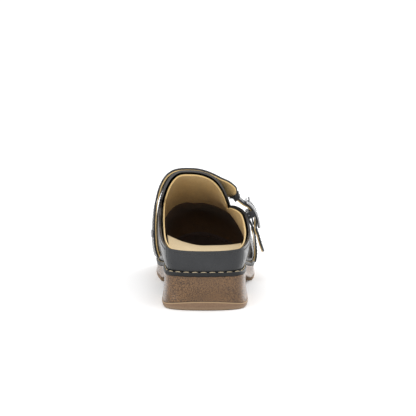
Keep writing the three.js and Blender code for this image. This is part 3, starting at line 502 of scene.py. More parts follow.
def collar_rise(step, below=0.0):
    notch, foot, top, collar = side(step)
    at = abs(step)
    if at <= notch:
        return rise_at(step, along(collar, at) - below)
    return max(0.0, top * (1 - (at - notch) / (foot - notch)))


def vamp_rise(step):
    notch, foot, top, _ = side(step)
    at = abs(step)
    if at <= tongue_tip:
        return 1.0
    if at < notch:
        share = (notch - at) / (notch - tongue_tip)
        return 1 - (1 - top - vamp_gap) * math.sqrt(1 - share * share)
    if at < foot + 0.001:
        return max(0.0, top * (1 - (at - notch) / (foot - notch)) + vamp_gap)
    return 0.0


def climb(low, high, columns):
    return [mix(low, high, t ** 1.6) for t in spread(0, 1, columns)]


def skin(name, outer, inner, top_shut=lambda i: False, end_shut=False):
    """A closed sheet of its own thickness between two grids.

    top_shut says which rows meet at their far end, and end_shut whether the last row closes on itself.
    """
    rows, columns = len(outer), len(outer[0])
    points = [p for line in outer for p in line] + [p for line in inner for p in line]
    half = rows * columns

    def at(i, j, face=0):
        return face * half + i * columns + j

    faces = []
    for i in range(rows - 1):
        for j in range(columns - 1):
            faces.append((at(i, j), at(i + 1, j), at(i + 1, j + 1), at(i, j + 1)))
            faces.append((at(i, j, 1), at(i, j + 1, 1), at(i + 1, j + 1, 1), at(i + 1, j, 1)))
    for i in range(rows - 1):
        faces.append((at(i, 0), at(i, 0, 1), at(i + 1, 0, 1), at(i + 1, 0)))
        if not top_shut(i):
            e = columns - 1
            faces.append((at(i, e), at(i + 1, e), at(i + 1, e, 1), at(i, e, 1)))
    for j in range(columns - 1):
        faces.append((at(0, j), at(0, j + 1), at(0, j + 1, 1), at(0, j, 1)))
        if not end_shut:
            e = rows - 1
            faces.append((at(e, j), at(e, j, 1), at(e, j + 1, 1), at(e, j + 1)))
    return carve(name, points, faces)


def side_panel(name, steps, near, far, columns):
    """A panel that rises from the welt to the collar line, between two depths of the form."""
    def grid(depth):
        return [[form(step, rise, depth) for rise in climb(0.0, collar_rise(step), columns)] for step in steps]

    return skin(name, grid(near), grid(far))


def front_panel(name, steps, low, near, far, columns, end_shut=False):
    """A panel laid over the foot from side to side; low gives how high its edge lies at a step."""
    def grid(depth):
        lines = []
        for step in steps:
            right = [form(step, rise, depth) for rise in climb(low(step), 1, columns)]
            left = [form(-step, rise, depth) for rise in reversed(climb(low(-step), 1, columns))]
            lines.append(right[:-1] + left)
        return lines

    return skin(name, grid(near), grid(far), end_shut=end_shut)


# ---- Linings ------------------------------------------------------------------------------------
# Undyed tan leather behind the quarters and under the tongue, skived to an even thickness and glued in; from
# the ball forward a dark brown napped textile takes over.
lining_depth = leather_thick + lining_gap
inner_face = lining_depth + lining_thick
front_foot, front_top, lining_seam, toe_reach = 9.0, 9.85, 0.07, 3.78


def lining_finish(name, dark, light, nap):
    material, tree, shader = finish(name)
    place = node(tree, "TexCoord")
    mottle = noise(tree, place.outputs["Object"], 45.0, Detail=5.0, Roughness=0.65)
    fibre = noise(tree, place.outputs["Object"], 1300.0, Detail=4.0)
    pore = node(tree, "TexVoronoi", {"Vector": place.outputs["Object"], "Scale": 800.0})
    tone = blend(tree, mottle.outputs["Fac"], dark, light)
    speck = graded(tree, fibre.outputs["Fac"], 0.8, 1.12, 0.3, 0.7)
    tone = blend(tree, 1.0, tone.outputs[0], speck.outputs[0], "MULTIPLY")
    tree.links.new(tone.outputs[0], shader.inputs["Base Color"])
    dull = graded(tree, mottle.outputs["Fac"], 0.72, 0.92)
    tree.links.new(dull.outputs[0], shader.inputs["Roughness"])
    shader.inputs["Specular IOR Level"].default_value = 0.25
    shader.inputs["Sheen Weight"].default_value = nap
    height = work_out(tree, "ADD", fibre.outputs["Fac"], pore.outputs["Distance"])
    emboss(tree, shader, height.outputs[0], 0.25, 0.0002)
    return material


tan_lining = lining_finish("tan_lining_leather", (0.6, 0.41, 0.17, 1), (0.78, 0.57, 0.27, 1), 0.1)
brown_textile = lining_finish("brown_textile", (0.1, 0.058, 0.03, 1), (0.17, 0.1, 0.055, 1), 0.1)

tongue_steps = [mix(tongue_tip, notch_inner, 1 - math.cos(t * math.pi / 2)) for t in spread(0, 1, 22)]
notch_steps = [mix(notch_inner, notch_outer, math.sin(t * math.pi / 2)) for t in spread(0, 1, 14)][1:]


def vamp_steps(end, count):
    return tongue_steps + notch_steps + [mix(notch_outer, end, t) for t in spread(0, 1, count)][1:]


heel_part = spread(foot_short - foot_inner, foot_outer - foot_short, 150)
quarter_lining = side_panel("quarter_lining_leather", heel_part, lining_depth, inner_face, 16)


def front_lining_low(step):
    return max(vamp_rise(step), min(1.0, max(0.0, (abs(step) - front_foot) / (front_top - front_foot))))


tongue_part = vamp_steps(front_top, 46)
tongue_lining = front_panel(
    "tongue_lining_leather", tongue_part, front_lining_low, lining_depth, inner_face, 26,
)
toe_steps = spread(toe_step - toe_reach, toe_step + toe_reach, 84)


def toe_edge(step):
    """The textile's back edge, which climbs from the welt to the instep line between two steps."""
    back = toe_step - abs(toe_step - step)
    return min(1.0, max(0.0, (back - front_foot - lining_seam) / (front_top - front_foot)))


def toe_grid(depth):
    lines = []
    for step in toe_steps:
        here = step - 2 * toe_step if step > toe_step else step
        lines.append([form(here, rise, depth) for rise in climb(0, toe_edge(step), 24)])
    return lines


toe_textile = skin(
    "toe_lining_textile", toe_grid(lining_depth), toe_grid(inner_face),
    top_shut=lambda i: min(toe_edge(toe_steps[i]), toe_edge(toe_steps[i + 1])) > 0.9999,
)
for piece, material, slot_name, cad_name in (
    (quarter_lining, tan_lining, "lining_leather", "quarter_lining"),
    (tongue_lining, tan_lining, "lining_leather", "vamp_lining"),
    (toe_textile, brown_textile, "toe_textile", "toe_lining"),
):
    piece.data.materials.append(material)
    soften(piece, 0.35)
    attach(piece, "shoe")
    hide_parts(cad_name)


# ---- Footbed and heel sock ----------------------------------------------------------------------
# A shaped footbed that cups the heel and swells under the arch; its dark brown is painted shade for the deep
# shadow in the toe. A thin cream leather sock covers its heel and arch, with its front edge cut straight
# across.
bed_middle = [39.4, 39.4, 39.4, 39.6, 40.3, 40.8, 37.2, 28.5, 20.6, 18.6, 20.0, 23.4, 26.6, 28]
bed_inner = [4.5, 4.5, 4.5, 4.6, 5, 6.4, 10.5, 9.5, 3.5, 1, 0.5, 0.3, 0.2, 0.2]
bed_outer = [4.5, 4.2, 3.2, 2.2, 1.6, 1.6, 1.6, 1.2, 0.9, 0.7, 0.5, 0.3, 0.2, 0.2]
bed_edge, sock_thick, sock_front, sock_inset = 1.75, 1.2, toe_step * 16 / 34, 0.6


def bed_side(step, height, inset):
    depth = inner_face + bed_edge + inset
    p = form(step, rise_at(step, height, depth), depth)
    return Vector((p.x, p.y, height))


def bed_height(across, step):
    if across > 0:
        return along(bed_middle, step) + along(bed_outer, step) * across ** 4
    return along(bed_middle, step) + along(bed_inner, step) * abs(across) ** 1.7


def on_bed(over):
    """Height of a bed surface that lies this far over the footbed's own."""
    return lambda p, share, step: bed_height(share, step) + over


def bed_rim(step, over, inset):
    return bed_side(step, bed_height(1 if step >= 0 else -1, abs(step)) + over, inset)


bed_top = -sock_thick - 2 * clearance


def footbed_rim(step):
    foot = outline(step, upper_inset + inner_face + bed_edge + 0.1)
    y = outline(step).y
    return [
        Vector((foot.x, foot.y, wood_top(y) + clearance)), Vector((foot.x, foot.y, upper_foot(y))),
        bed_side(step, upper_foot(y) + 2, 0.8), bed_rim(step, bed_top, 0),
    ]


def sock_rim(step):
    return [bed_rim(step, over, sock_inset) for over in (-sock_thick, 0)]


footbed = slab(
    "footbed_body", spread(0, toe_step, 110), 30, footbed_rim,
    lambda p, share, step: wood_top(p.y) + clearance, on_bed(bed_top),
)
# This dark brown is painted shade: the footbed is coloured dark beyond the sock's front edge to stand for the
# shadow there.
footbed_painted_shade = lining_finish("footbed_cover_painted_shade", (0.09, 0.062, 0.052, 1), (0.14, 0.1, 0.085, 1), 0.05)
footbed.data.materials.append(footbed_painted_shade)
soften(footbed, 0.8)
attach(footbed, "shoe")
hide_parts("footbed")

sock = slab(
    "heel_sock_leather", spread(0, sock_front, 60), 30, sock_rim, on_bed(-sock_thick), on_bed(0), (False, True),
)
cream_leather = lining_finish("cream_sock_leather", (0.5, 0.385, 0.225, 1), (0.62, 0.505, 0.32, 1), 0.05)
sock.data.materials.append(cream_leather)
soften(sock, 0.45)
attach(sock, "shoe")
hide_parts("heel_sock")


# ---- Leather upper ------------------------------------------------------------------------------
# Black waxed leather: a low counter round the heel, two quarters and a vamp whose rounded tongue stands high.
# The edges are folded and rounded smooth and carry a painted highlight, and dark thread runs just inside them.
def leather_finish(name, dark, light, gloss_low, gloss_high, shine):
    material, tree, shader = finish(name)
    place = node(tree, "TexCoord")
    cloud = noise(tree, place.outputs["Object"], 38.0, Detail=4.0)
    crease = noise(tree, place.outputs["Object"], 230.0, Detail=6.0, Roughness=0.6, Distortion=0.6)
    grain = node(tree, "TexVoronoi", {"Vector": place.outputs["Object"], "Scale": 1150.0}, feature="SMOOTH_F1")
    edge = node(tree, "NewGeometry")
    tone = blend(tree, cloud.outputs["Fac"], dark, light)
    # Convex edges are lightened towards grey: a painted highlight.
    edge_highlight = graded(tree, edge.outputs["Pointiness"], 0.0, 0.45, 0.53, 0.62)
    tone = blend(tree, edge_highlight.outputs[0], tone.outputs[0], (0.13, 0.125, 0.12, 1))
    tree.links.new(tone.outputs[0], shader.inputs["Base Color"])
    gloss = graded(tree, crease.outputs["Fac"], gloss_low, gloss_high, 0.3, 0.7)
    tree.links.new(gloss.outputs[0], shader.inputs["Roughness"])
    shader.inputs["Specular IOR Level"].default_value = shine
    height = work_out(tree, "MULTIPLY_ADD", grain.outputs["Distance"], -0.8, crease.outputs["Fac"])
    emboss(tree, shader, height.outputs[0], 0.3, 0.00025)
    return material


black_leather = leather_finish(
    "black_waxed_leather", (0.006, 0.007, 0.009, 1), (0.03, 0.0315, 0.035, 1), 0.22, 0.42, 0.43,
)
rear_seam, seam_gap = 2.1, 0.016

outer_quarter_steps = spread(rear_seam + seam_gap, foot_outer - foot_short, 90)
outer_quarter = side_panel("outer_quarter_leather", outer_quarter_steps, 0, leather_thick, 30)
inner_quarter_steps = spread(-rear_seam - seam_gap, foot_short - foot_inner, 90)
inner_quarter = side_panel("inner_quarter_leather", inner_quarter_steps, 0, leather_thick, 30)
counter_steps = spread(seam_gap - rear_seam, rear_seam - seam_gap, 70)
counter = side_panel("heel_counter_leather", counter_steps, 0, leather_thick, 20)
vamp = front_panel("vamp_leather", vamp_steps(toe_step, 84), vamp_rise, 0, leather_thick, 40, end_shut=True)
for piece, cad_name in (
    (outer_quarter, "lateral_quarter"), (inner_quarter, "medial_quarter"),
    (counter, "heel_counter"), (vamp, "vamp"),
):
    piece.data.materials.append(black_leather)
    soften(piece, 0.75, 4)
    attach(piece, "shoe")
    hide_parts(cad_name)


# ---- Thread -------------------------------------------------------------------------------------
# Lock stitches laid in runs: each one shows as a short rounded length of thread, pulled down at both ends.
def laid_thread(material_name, dark, light):
    material, tree, shader = finish(material_name)
    place = node(tree, "TexCoord")
    twist = node(
        tree, "TexWave", {"Vector": place.outputs["Object"], "Scale": 900.0, "Distortion": 1.5},
        bands_direction="DIAGONAL",
    )
    fluff = noise(tree, place.outputs["Object"], 400.0)
    share = work_out(tree, "MULTIPLY", twist.outputs["Fac"], fluff.outputs["Fac"])
    tone = blend(tree, share.outputs[0], dark, light)
    tree.links.new(tone.outputs[0], shader.inputs["Base Color"])
    shader.inputs["Roughness"].default_value = 0.7
    emboss(tree, shader, twist.outputs["Fac"], 0.4, 0.0001)
    return material


stitch_flat = 0.75


def stitch_run(path, pitch, long, thick, points, faces):
    """Adds one rounded stitch per pitch to the lists, along a path of (place, outward direction) pairs."""
    marks = [0.0]
    for (a, _), (b, _) in zip(path, path[1:]):
        marks.append(marks[-1] + (b - a).length)
    count = int(marks[-1] / pitch)
    i = 0
    for n in range(count):
        at = (n + 0.5) * marks[-1] / count
        while marks[i + 1] < at:
            i += 1
        share = (at - marks[i]) / (marks[i + 1] - marks[i])
        middle = path[i][0].lerp(path[i + 1][0], share)
        run = (path[i + 1][0] - path[i][0]).normalized()
        out = path[i][1].lerp(path[i + 1][1], share)
        out = (out - run * out.dot(run)).normalized()
        across = run.cross(out)
        base = len(points)
        rings = [-1, -0.86, -0.5, 0, 0.5, 0.86, 1]
        for t in rings:
            fat = thick / 2 * max(0.12, (1 - abs(t) ** 3.2)) ** 0.5
            centre = middle + run * (t * long / 2) + out * (thick * 0.22 * (1 - t * t) - 0.12 * thick)
            for k in range(8):
                a = k * math.pi / 4
                points.append(centre + across * (fat * math.cos(a)) + out * (fat * stitch_flat * math.sin(a)))
        for ring in range(len(rings) - 1):
            for k in range(8):
                a, b = base + ring * 8 + k, base + ring * 8 + (k + 1) % 8
                faces.append((a, b, b + 8, a + 8))
        faces.append(tuple(base + k for k in range(7, -1, -1)))
        faces.append(tuple(base + (len(rings) - 1) * 8 + k for k in range(8)))


def sewn(name, paths, pitch, long, thick):
    points, faces = [], []
    for path in paths:
        stitch_run(path, pitch, long, thick, points, faces)
    return set_down(name, points, faces)


def on_upper(step, rise, proud=0.1):
    """A place on the upper's face with its outward direction."""
    here = form(step, rise, -proud)
    nearby = form(step + 0.02, rise, -proud) - form(step - 0.02, rise, -proud)
    climbing = form(step, min(1.0, rise + 0.01), -proud) - form(step, rise - 0.01, -proud)
    out = nearby.cross(climbing).normalized()
    return here, out if out.dot(here - Vector((0, 95, 40))) > 0 else -out


edge_in, seam_in, foot_past, ridge_short = 2.6, 0.12, 0.1, 0.995
quarter_rim = [
    [on_upper(s, collar_rise(s, edge_in)) for s in spread(first, last, count)]
    for first, last, count in (
        (rear_seam + seam_in, notch_outer - seam_in, 90),
        (-rear_seam - seam_in, seam_in - notch_inner, 90),
        (seam_in - rear_seam, rear_seam - seam_in, 70),
    )
]
tongue_rim = []
for t in spread(0, 1, 120):
    s = mix(foot_inner + foot_past, tongue_tip + seam_in, math.sin(t * math.pi / 2))
    tongue_rim.append(on_upper(-s, min(ridge_short, vamp_rise(seam_in - s))))
for t in spread(0, 1, 120)[1:]:
    s = mix(tongue_tip + seam_in, foot_outer + foot_past, 1 - math.cos(t * math.pi / 2))
    tongue_rim.append(on_upper(s, min(ridge_short, vamp_rise(s - seam_in))))
dark_thread = laid_thread("dark_thread", (0.02, 0.02, 0.021, 1), (0.09, 0.088, 0.085, 1))
topstitch = sewn("upper_topstitch", quarter_rim + [tongue_rim], 2.7, 2.15, 0.62)
topstitch.data.materials.append(dark_thread)
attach(topstitch, "shoe")


# ---- Welt and its stitching ---------------------------------------------------------------------
# A black leather strip laid round the upper's foot, its two ends butted at the inner rear seam. Waxed cream
# thread lies in a shallow channel near its outer edge, in stitches about 7 mm apart.
welt_wide, thread_inset, thread_thick, stitch_pitch, stitch_long = 7.4, 1.35, 1.0, 7.2, 4.9


def round_from_seam(count, gap):
    return spread(-rear_seam + gap, 2 * toe_step - rear_seam - gap, count)


def welt_section(step):
    y = outline(step).y
    foot, top = wood_top(y) + clearance, wood_top(y) + clearance + welt_thick
    ring = []
    for inset, z in (
        (0.25, foot), (0.02, foot + 0.35), (-0.12, foot + 1.0), (-0.16, foot + 1.8), (-0.05, top - 0.55),
        (0.25, top - 0.12), (0.6, top),
        (thread_inset - 0.5, top - 0.05), (thread_inset, top - 0.42), (thread_inset + 0.5, top - 0.05),
        (thread_inset + 0.75, top), (welt_wide, top), (welt_wide, foot),
    ):
        p = outline(step, inset)
        ring.append(Vector((p.x, p.y, z)))
    return ring


def loft(name, sections, closed=False):
    """Covers a row of rings: a closed row joins its last ring to its first, an open one gets two end walls."""
    wide, count = len(sections[0]), len(sections)
    points = [p for ring in sections for p in ring]
    faces = [] if closed else [tuple(range(wide - 1, -1, -1)), tuple(range(len(points) - wide, len(points)))]
    for i in range(count if closed else count - 1):
        near, far = i * wide, (i + 1) % count * wide
        for j in range(wide):
            k = (j + 1) % wide
            faces.append((near + j, near + k, far + k, far + j))
    return carve(name, points, faces)


welt = loft("welt_strip", [welt_section(step) for step in round_from_seam(300, 0.012)])
welt_leather = leather_finish(
    "black_welt_leather", (0.005, 0.0053, 0.006, 1), (0.011, 0.0115, 0.0125, 1), 0.4, 0.6, 0.32,
)
welt.data.materials.append(welt_leather)
soften(welt, 0.2, 2, 60)
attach(welt, "shoe")
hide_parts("welt")

welt_path = []
for step in round_from_seam(520, 0.05):
    p, high = outline(step, thread_inset), wood_top(outline(step).y) + clearance + welt_thick + 0.12
    welt_path.append((Vector((p.x, p.y, high)), Vector((0, 0, 1))))
welt_stitches = sewn("welt_stitches", [welt_path], stitch_pitch, stitch_long, thread_thick)
cream_thread = laid_thread("cream_thread", (0.42, 0.33, 0.2, 1), (0.8, 0.7, 0.5, 1))
welt_stitches.data.materials.append(cream_thread)
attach(welt_stitches, "shoe")
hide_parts("welt_thread")


# ---- Instep strap -------------------------------------------------------------------------------
# Black leather backed with tan leather, riveted low on the inner side. It crosses the instep, dives under the
# buckle's upper rail, rides over its bar, passes under the lower rail and ends in a free, rounded tail.
strap_wide, strap_leather, strap_backing, strap_stand, strap_step = 20, 1.5, 0.9, 1.1, 7.6
strap_thick = strap_leather + clearance + strap_backing
bar = Vector((39.25, 113, 60.3))
bar_radius, rail_radius, rail_top, rail_tail, rail_out, rail_gap = 1.25, 1.25, 11.6, 13.8, 3.6, 0.95
frame_out, frame_up = Vector((0.894, 0, 0.447)).normalized(), Vector((-0.447, 0, 0.894)).normalized()
anchor_thick = 1.4
fold_radius = bar_radius + clearance + anchor_thick / 2
over_bar = fold_radius + anchor_thick / 2 + clearance + strap_thick / 2 + 0.1
under_rail = rail_out - rail_radius - rail_gap - strap_thick / 2


def on_frame(up, out, y=0.0):
    return bar + frame_up * up + frame_out * out + Vector((0, y, 0))


def strap_stand_at(rise):
    return 0.5 + (strap_stand - 0.5) * smooth(0.1, 0.6, rise) + strap_thick / 2


class Run:
    """A smooth line through points, walked by share of its length."""

    def __init__(self, points, fine=24):
        ends = [points[0] * 2 - points[1]] + points + [points[-1] * 2 - points[-2]]
        self.line = []
        for p0, p1, p2, p3 in zip(ends, ends[1:], ends[2:], ends[3:]):
            d0, d1, d2 = ((b - a).length ** 0.5 for a, b in ((p0, p1), (p1, p2), (p2, p3)))
            a = ((p1 - p0) / d0 - (p2 - p0) / (d0 + d1) + (p2 - p1) / d1) * d1
            b = ((p2 - p1) / d1 - (p3 - p1) / (d1 + d2) + (p3 - p2) / d2) * d1
            early, late = (p2 - p1) * 3 - a * 2 - b, (p1 - p2) * 2 + a + b
            for n in range(fine):
                t = n / fine
                self.line.append(p1 + a * t + early * t * t + late * t ** 3)
        self.line.append(points[-1].copy())
        self.marks = [0.0]
        for a, b in zip(self.line, self.line[1:]):
            self.marks.append(self.marks[-1] + (b - a).length)
        self.length = self.marks[-1]

    def place(self, share):
        at = min(1.0, max(0.0, share)) * self.length
        beyond = next((k for k, mark in enumerate(self.marks) if mark > at), len(self.marks) - 1)
        i = max(0, min(len(self.line) - 2, beyond - 1))
        return self.line[i].lerp(self.line[i + 1], (at - self.marks[i]) / (self.marks[i + 1] - self.marks[i]))

    def way(self, share):
        return (self.place(share + 0.004) - self.place(share - 0.004)).normalized()

    def share(self, place):
        return min((i / 400 for i in range(401)), key=lambda s: (self.place(s) - place).length)


strap_rises = (0.04, 0.1, 0.2, 0.3, 0.4, 0.5, 0.6, 0.7, 0.8, 0.9, 1)
strap_points = [form(-strap_step, rise, -strap_stand_at(rise)) for rise in strap_rises]
for p in strap_points:
    p.y = bar.y
strap_points += [Vector((x, bar.y, z)) for x, z in ((-6, 96.9), (2, 94.8), (10, 91), (17.5, 86.2), (23, 80.4))]
strap_points += [
    on_frame(19, -3.1), on_frame(rail_top, under_rail), on_frame(6, over_bar - 1), on_frame(0, over_bar),
    on_frame(-7, over_bar - 1.2), on_frame(-rail_tail, under_rail), on_frame(-20, under_rail - 0.9),
    on_frame(-28, under_rail - 2.4), on_frame(-36.5, under_rail - 3.4),
]
strap_run = Run(strap_points)
share_ridge = strap_run.share(form(strap_step, 1, -strap_stand_at(1)))
share_bar = strap_run.share(on_frame(0, over_bar))
lean_start, lean_most, lean_at = 24, 40, (0.38, 0.6, 0.73)
tail_round, tail_square = 7, 0.38


def strap_frame(share):
    here, run = strap_run.place(share), strap_run.way(share)
    if share < share_ridge:
        rise = rise_at(-strap_step, here.z, -strap_stand_at(0.6))
        across = (form(-strap_step - 0.35, rise) - form(0.35 - strap_step, rise)).normalized()
    else:
        ahead = (form(strap_step + 0.35, 1) - form(strap_step - 0.35, 1)).normalized()
        way = (share - share_ridge) / (share_bar - share_ridge)
        grown = mix(lean_start, lean_most, smooth(lean_at[0], lean_at[1], way))
        lean = math.radians(grown * (1 - smooth(lean_at[1], lean_at[2], way)))
        leaning = Vector((run.z * math.sin(lean), math.cos(lean), -run.x * math.sin(lean)))
        across = ahead.lerp(leaning, smooth(0.05, 0.4, way)).normalized()
    out = -across.cross(run).normalized()
    if out.dot(Vector((here.x * 0.4, 0, 1))) < 0:
        out = -out
    across = run.cross(out).normalized()
    return here, run, out, across if across.y > 0 else -across


strap_frames = [(share, strap_frame(share)) for share in spread(0, 1, 200)]


def strap_half(share):
    """Half the strap's width: square at the riveted end, rounded at the tail."""
    tail = min(1.0, (1 - share) * strap_run.length / tail_round)
    return strap_wide / 2 * mix(tail_square, 1, math.sqrt(max(0.0, 1 - (1 - tail) ** 2)))


def strap_layer(name, near, far):
    def grid(out_by):
        lines = []
        for share, (here, run, out, across) in strap_frames:
            half = strap_half(share)
            ties = (-1, -0.96, -0.8, -0.4, 0, 0.4, 0.8, 0.96, 1)
            lines.append([here + across * (half * k) + out * out_by for k in ties])
        return lines

    return skin(name, grid(far), grid(near))


def punch(pieces, cutters):
    """Cuts holes through straps with round or square punches, which are then thrown away."""
    for piece in pieces:
        for cutter in cutters:
            hole = piece.modifiers.new("hole", "BOOLEAN")
            hole.object = cutter
            hole.solver = "EXACT"
        bpy.context.view_layer.update()
        mesh = bpy.data.meshes.new_from_object(piece.evaluated_get(bpy.context.evaluated_depsgraph_get()))
        piece.modifiers.clear()
        piece.data = mesh
    for cutter in cutters:
        bpy.data.objects.remove(cutter)


def stand_punch(work, place, turn):
    mesh = bpy.data.meshes.new("punch")
    work.to_mesh(mesh)
    work.free()
    cutter = bpy.data.objects.new("punch", mesh)
    cutter.matrix_world = Matrix.Translation(place / 1000) @ turn
    scene.collection.objects.link(cutter)
    return cutter


def round_punch(place, out, radius, long=12):
    work = bmesh.new()
    wide = radius / 1000
    bmesh.ops.create_cone(work, cap_ends=True, segments=20, radius1=wide, radius2=wide, depth=long / 1000)
    return stand_punch(work, place, out.to_track_quat("Z", "Y").to_matrix().to_4x4())


def square_punch(place, up, across, out):
    """A square punch that lies along the buckle's frame, of these three sizes."""
    work = bmesh.new()
    bmesh.ops.create_cube(work, size=1.0)
    turn = Matrix((frame_up, Vector((0, 1, 0)), frame_out)).transposed().to_4x4()
    return stand_punch(work, place, turn @ Matrix.Diagonal((up / 1000, across / 1000, out / 1000, 1)))


strap_top = strap_layer("instep_strap_leather", strap_thick / 2 - strap_leather, strap_thick / 2)
strap_back = strap_layer("instep_strap_backing", -strap_thick / 2, -strap_thick / 2 + strap_backing)
rivet_height, rivet_shaft, rivet_head = 42.5, 1.2, 3.8
rivet_share = max(s for s in spread(0, share_ridge, 200) if strap_run.place(s).z <= rivet_height)
rivet_here, _, rivet_out, _ = strap_frame(rivet_share)
hole_pitch, hole_radius = 9.5 / strap_run.length, 1.5
slot_up, slot_out, slot_long, slot_wide, slot_deep = 4.2, 6.1, 10.8, 3.2, 11.8
slot_share = strap_run.share(on_frame(slot_up, over_bar))
punches = [round_punch(rivet_here, rivet_out, rivet_shaft + clearance, 24)]
for n in (-4, -3):
    here, _, out, _ = strap_frame(slot_share - n * hole_pitch)
    punches.append(round_punch(here, out, hole_radius))
punches.append(square_punch(on_frame(slot_up, slot_out), slot_long, slot_wide, slot_deep))
punch((strap_top, strap_back), punches)

strap_top.data.materials.append(black_leather)
strap_back.data.materials.append(tan_lining)
for layer, slot_name, cad_name in (
    (strap_top, "black_leather", "instep_strap"), (strap_back, "lining_leather", "strap_lining"),
):
    soften(layer, 0.3, 3, 45)
    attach(layer, "shoe")
    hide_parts(cad_name)

sew_in, sew_pitch, sew_long, sew_thick = 2.2, 2.9, 2.2, 0.6
strap_rows = []
for edge_side in (-1, 1):
    row = []
    for share, (here, run, out, across) in strap_frames:
        if 3 / strap_run.length < share < 1 - 6 / strap_run.length:
            aside = across * (edge_side * (strap_wide / 2 - sew_in))
            row.append((here + aside + out * (strap_thick / 2 - 0.06), out))
    strap_rows.append(row)
strap_stitches = sewn("instep_strap_stitches", strap_rows, sew_pitch, sew_long, sew_thick)
strap_stitches.data.materials.append(dark_thread)
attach(strap_stitches, "shoe")


# ---- Keeper -------------------------------------------------------------------------------------
# A narrow black leather loop that slides on the strap just above the buckle and lies flat on it.
keeper_wide, keeper_thick = 5, 1.1
keeper_share = strap_run.share(on_frame(19.2, -3.1))


def squared(swing, power):
    """A sine or cosine with its round pushed towards a square."""
    return math.copysign(abs(swing) ** power, swing)


def keeper_ring(share, grow):
    here, _, out, across = strap_frame(share)
    half, deep = strap_wide / 2 + 1.5 * clearance + grow, strap_thick / 2 + 3.5 * clearance + grow
    ring = []
    for k in range(32):
        a = 2 * math.pi * k / 32
        aside = across * (half * squared(math.cos(a), 0.25))
        ring.append(here + aside + out * (deep * squared(math.sin(a), 0.5)))
    return ring + [ring[0].copy()]


keeper_rows = [keeper_share + t * keeper_wide / strap_run.length / 2 for t in spread(-1, 1, 8)]
keeper = skin(
    "strap_keeper_loop",
    [keeper_ring(s, keeper_thick) for s in keeper_rows],
    [keeper_ring(s, 0) for s in keeper_rows],
    top_shut=lambda i: True,
)
keeper.data.materials.append(welt_leather)
soften(keeper, 0.3)
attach(keeper, "shoe")
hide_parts("strap_keeper")


# ---- Medial rivet -------------------------------------------------------------------------------
# A small domed steel rivet holds the strap's inner end through the vamp, set on a washer inside.
def turned(name, profile, place, axis, around=48):
    points, faces = [], []
    for radius, high in profile:
        for k in range(around):
            a = 2 * math.pi * k / around
            points.append(Vector((radius * math.cos(a), radius * math.sin(a), high)))
    for i in range(len(profile) - 1):
        for k in range(around):
            a, b = i * around + k, i * around + (k + 1) % around
            faces.append((a, b, b + around, a + around))
    turn = axis.to_track_quat("Z", "Y").to_matrix()
    return carve(name, [place + turn @ p for p in points], faces)


def metal_finish(name, tint, low, high):
    material, tree, shader = finish(name)
    place = node(tree, "TexCoord")
    smear = noise(tree, place.outputs["Object"], 150.0, Detail=4.0)
    scratch_map = node(tree, "Mapping", {"Vector": place.outputs["Object"], "Scale": (1.0, 14.0, 1.0)})
    scratch = noise(tree, scratch_map.outputs[0], 260.0, Detail=3.0)
    tone = blend(tree, smear.outputs["Fac"], tint, tuple(min(1.0, c * 1.5) for c in tint))
    tree.links.new(tone.outputs[0], shader.inputs["Base Color"])
    shader.inputs["Metallic"].default_value = 1.0
    gloss = graded(tree, smear.outputs["Fac"], low, high)
    tree.links.new(gloss.outputs[0], shader.inputs["Roughness"])
    emboss(tree, shader, scratch.outputs["Fac"], 0.08, 0.0001)
    return material


polished_steel = metal_finish("polished_steel", (0.3, 0.3, 0.305, 1), 0.14, 0.3)
head_base = rivet_here + rivet_out * (strap_thick / 2 + clearance * 0.4)
rivet_profile = [(0.001, 1.9)]
for turn_by in range(8, 91, 8):
    a = math.radians(turn_by)
    rivet_profile.append((rivet_head * math.sin(a), 0.35 + 1.55 * math.cos(a)))
rivet_long = 7.2
rivet_profile += [
    (rivet_head, 0.2), (rivet_head - 0.2, 0.0), (rivet_shaft, 0.0),
    (rivet_shaft, -rivet_long), (0.001, -rivet_long),
]
rivet = turned("medial_rivet_dome", rivet_profile, head_base, rivet_out)
rivet.data.materials.append(polished_steel)
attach(rivet, "shoe")
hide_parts("medial_rivet")


# ---- Anchor strap -------------------------------------------------------------------------------
# A short leather strap lasted under the welt on the outer side. It rises to the buckle, folds round its bar and
# comes back down a little way on the outside; tan leather backs the part against the shoe.
anchor_wide = strap_wide - 1
anchor_foot = upper_foot(outline(strap_step).y)
anchor_rise = ((45.2, 1.5), (46.2, 8), (45.4, 20), (44.2, 28))
anchor_points = [Vector((x, bar.y, anchor_foot + z)) for x, z in anchor_rise]
anchor_points += [on_frame(-8.5, -2), on_frame(-3, -fold_radius)]
for turn_by in range(180, -1, -30):
    a = math.radians(turn_by)
    anchor_points.append(on_frame(fold_radius * math.sin(a), fold_radius * math.cos(a)))
anchor_points += [on_frame(-3, fold_radius - 0.5), on_frame(-6.5, 0.6), on_frame(-9.5, -0.2)]
anchor_run = Run(anchor_points)


def band_frame(share):
    here, run = anchor_run.place(share), anchor_run.way(share)
    return here, run, Vector((0, 1, 0)).cross(run).normalized()


def band(name, near, far, wide, first, last, rows):
    def grid(out_by):
        lines = []
        for share in spread(first, last, rows):
            here, _, out = band_frame(share)
            ties = (-1, -0.96, -0.7, -0.25, 0.25, 0.7, 0.96, 1)
            lines.append([here + Vector((0, wide / 2 * k, 0)) + out * out_by for k in ties])
        return lines

    return skin(name, grid(far), grid(near))


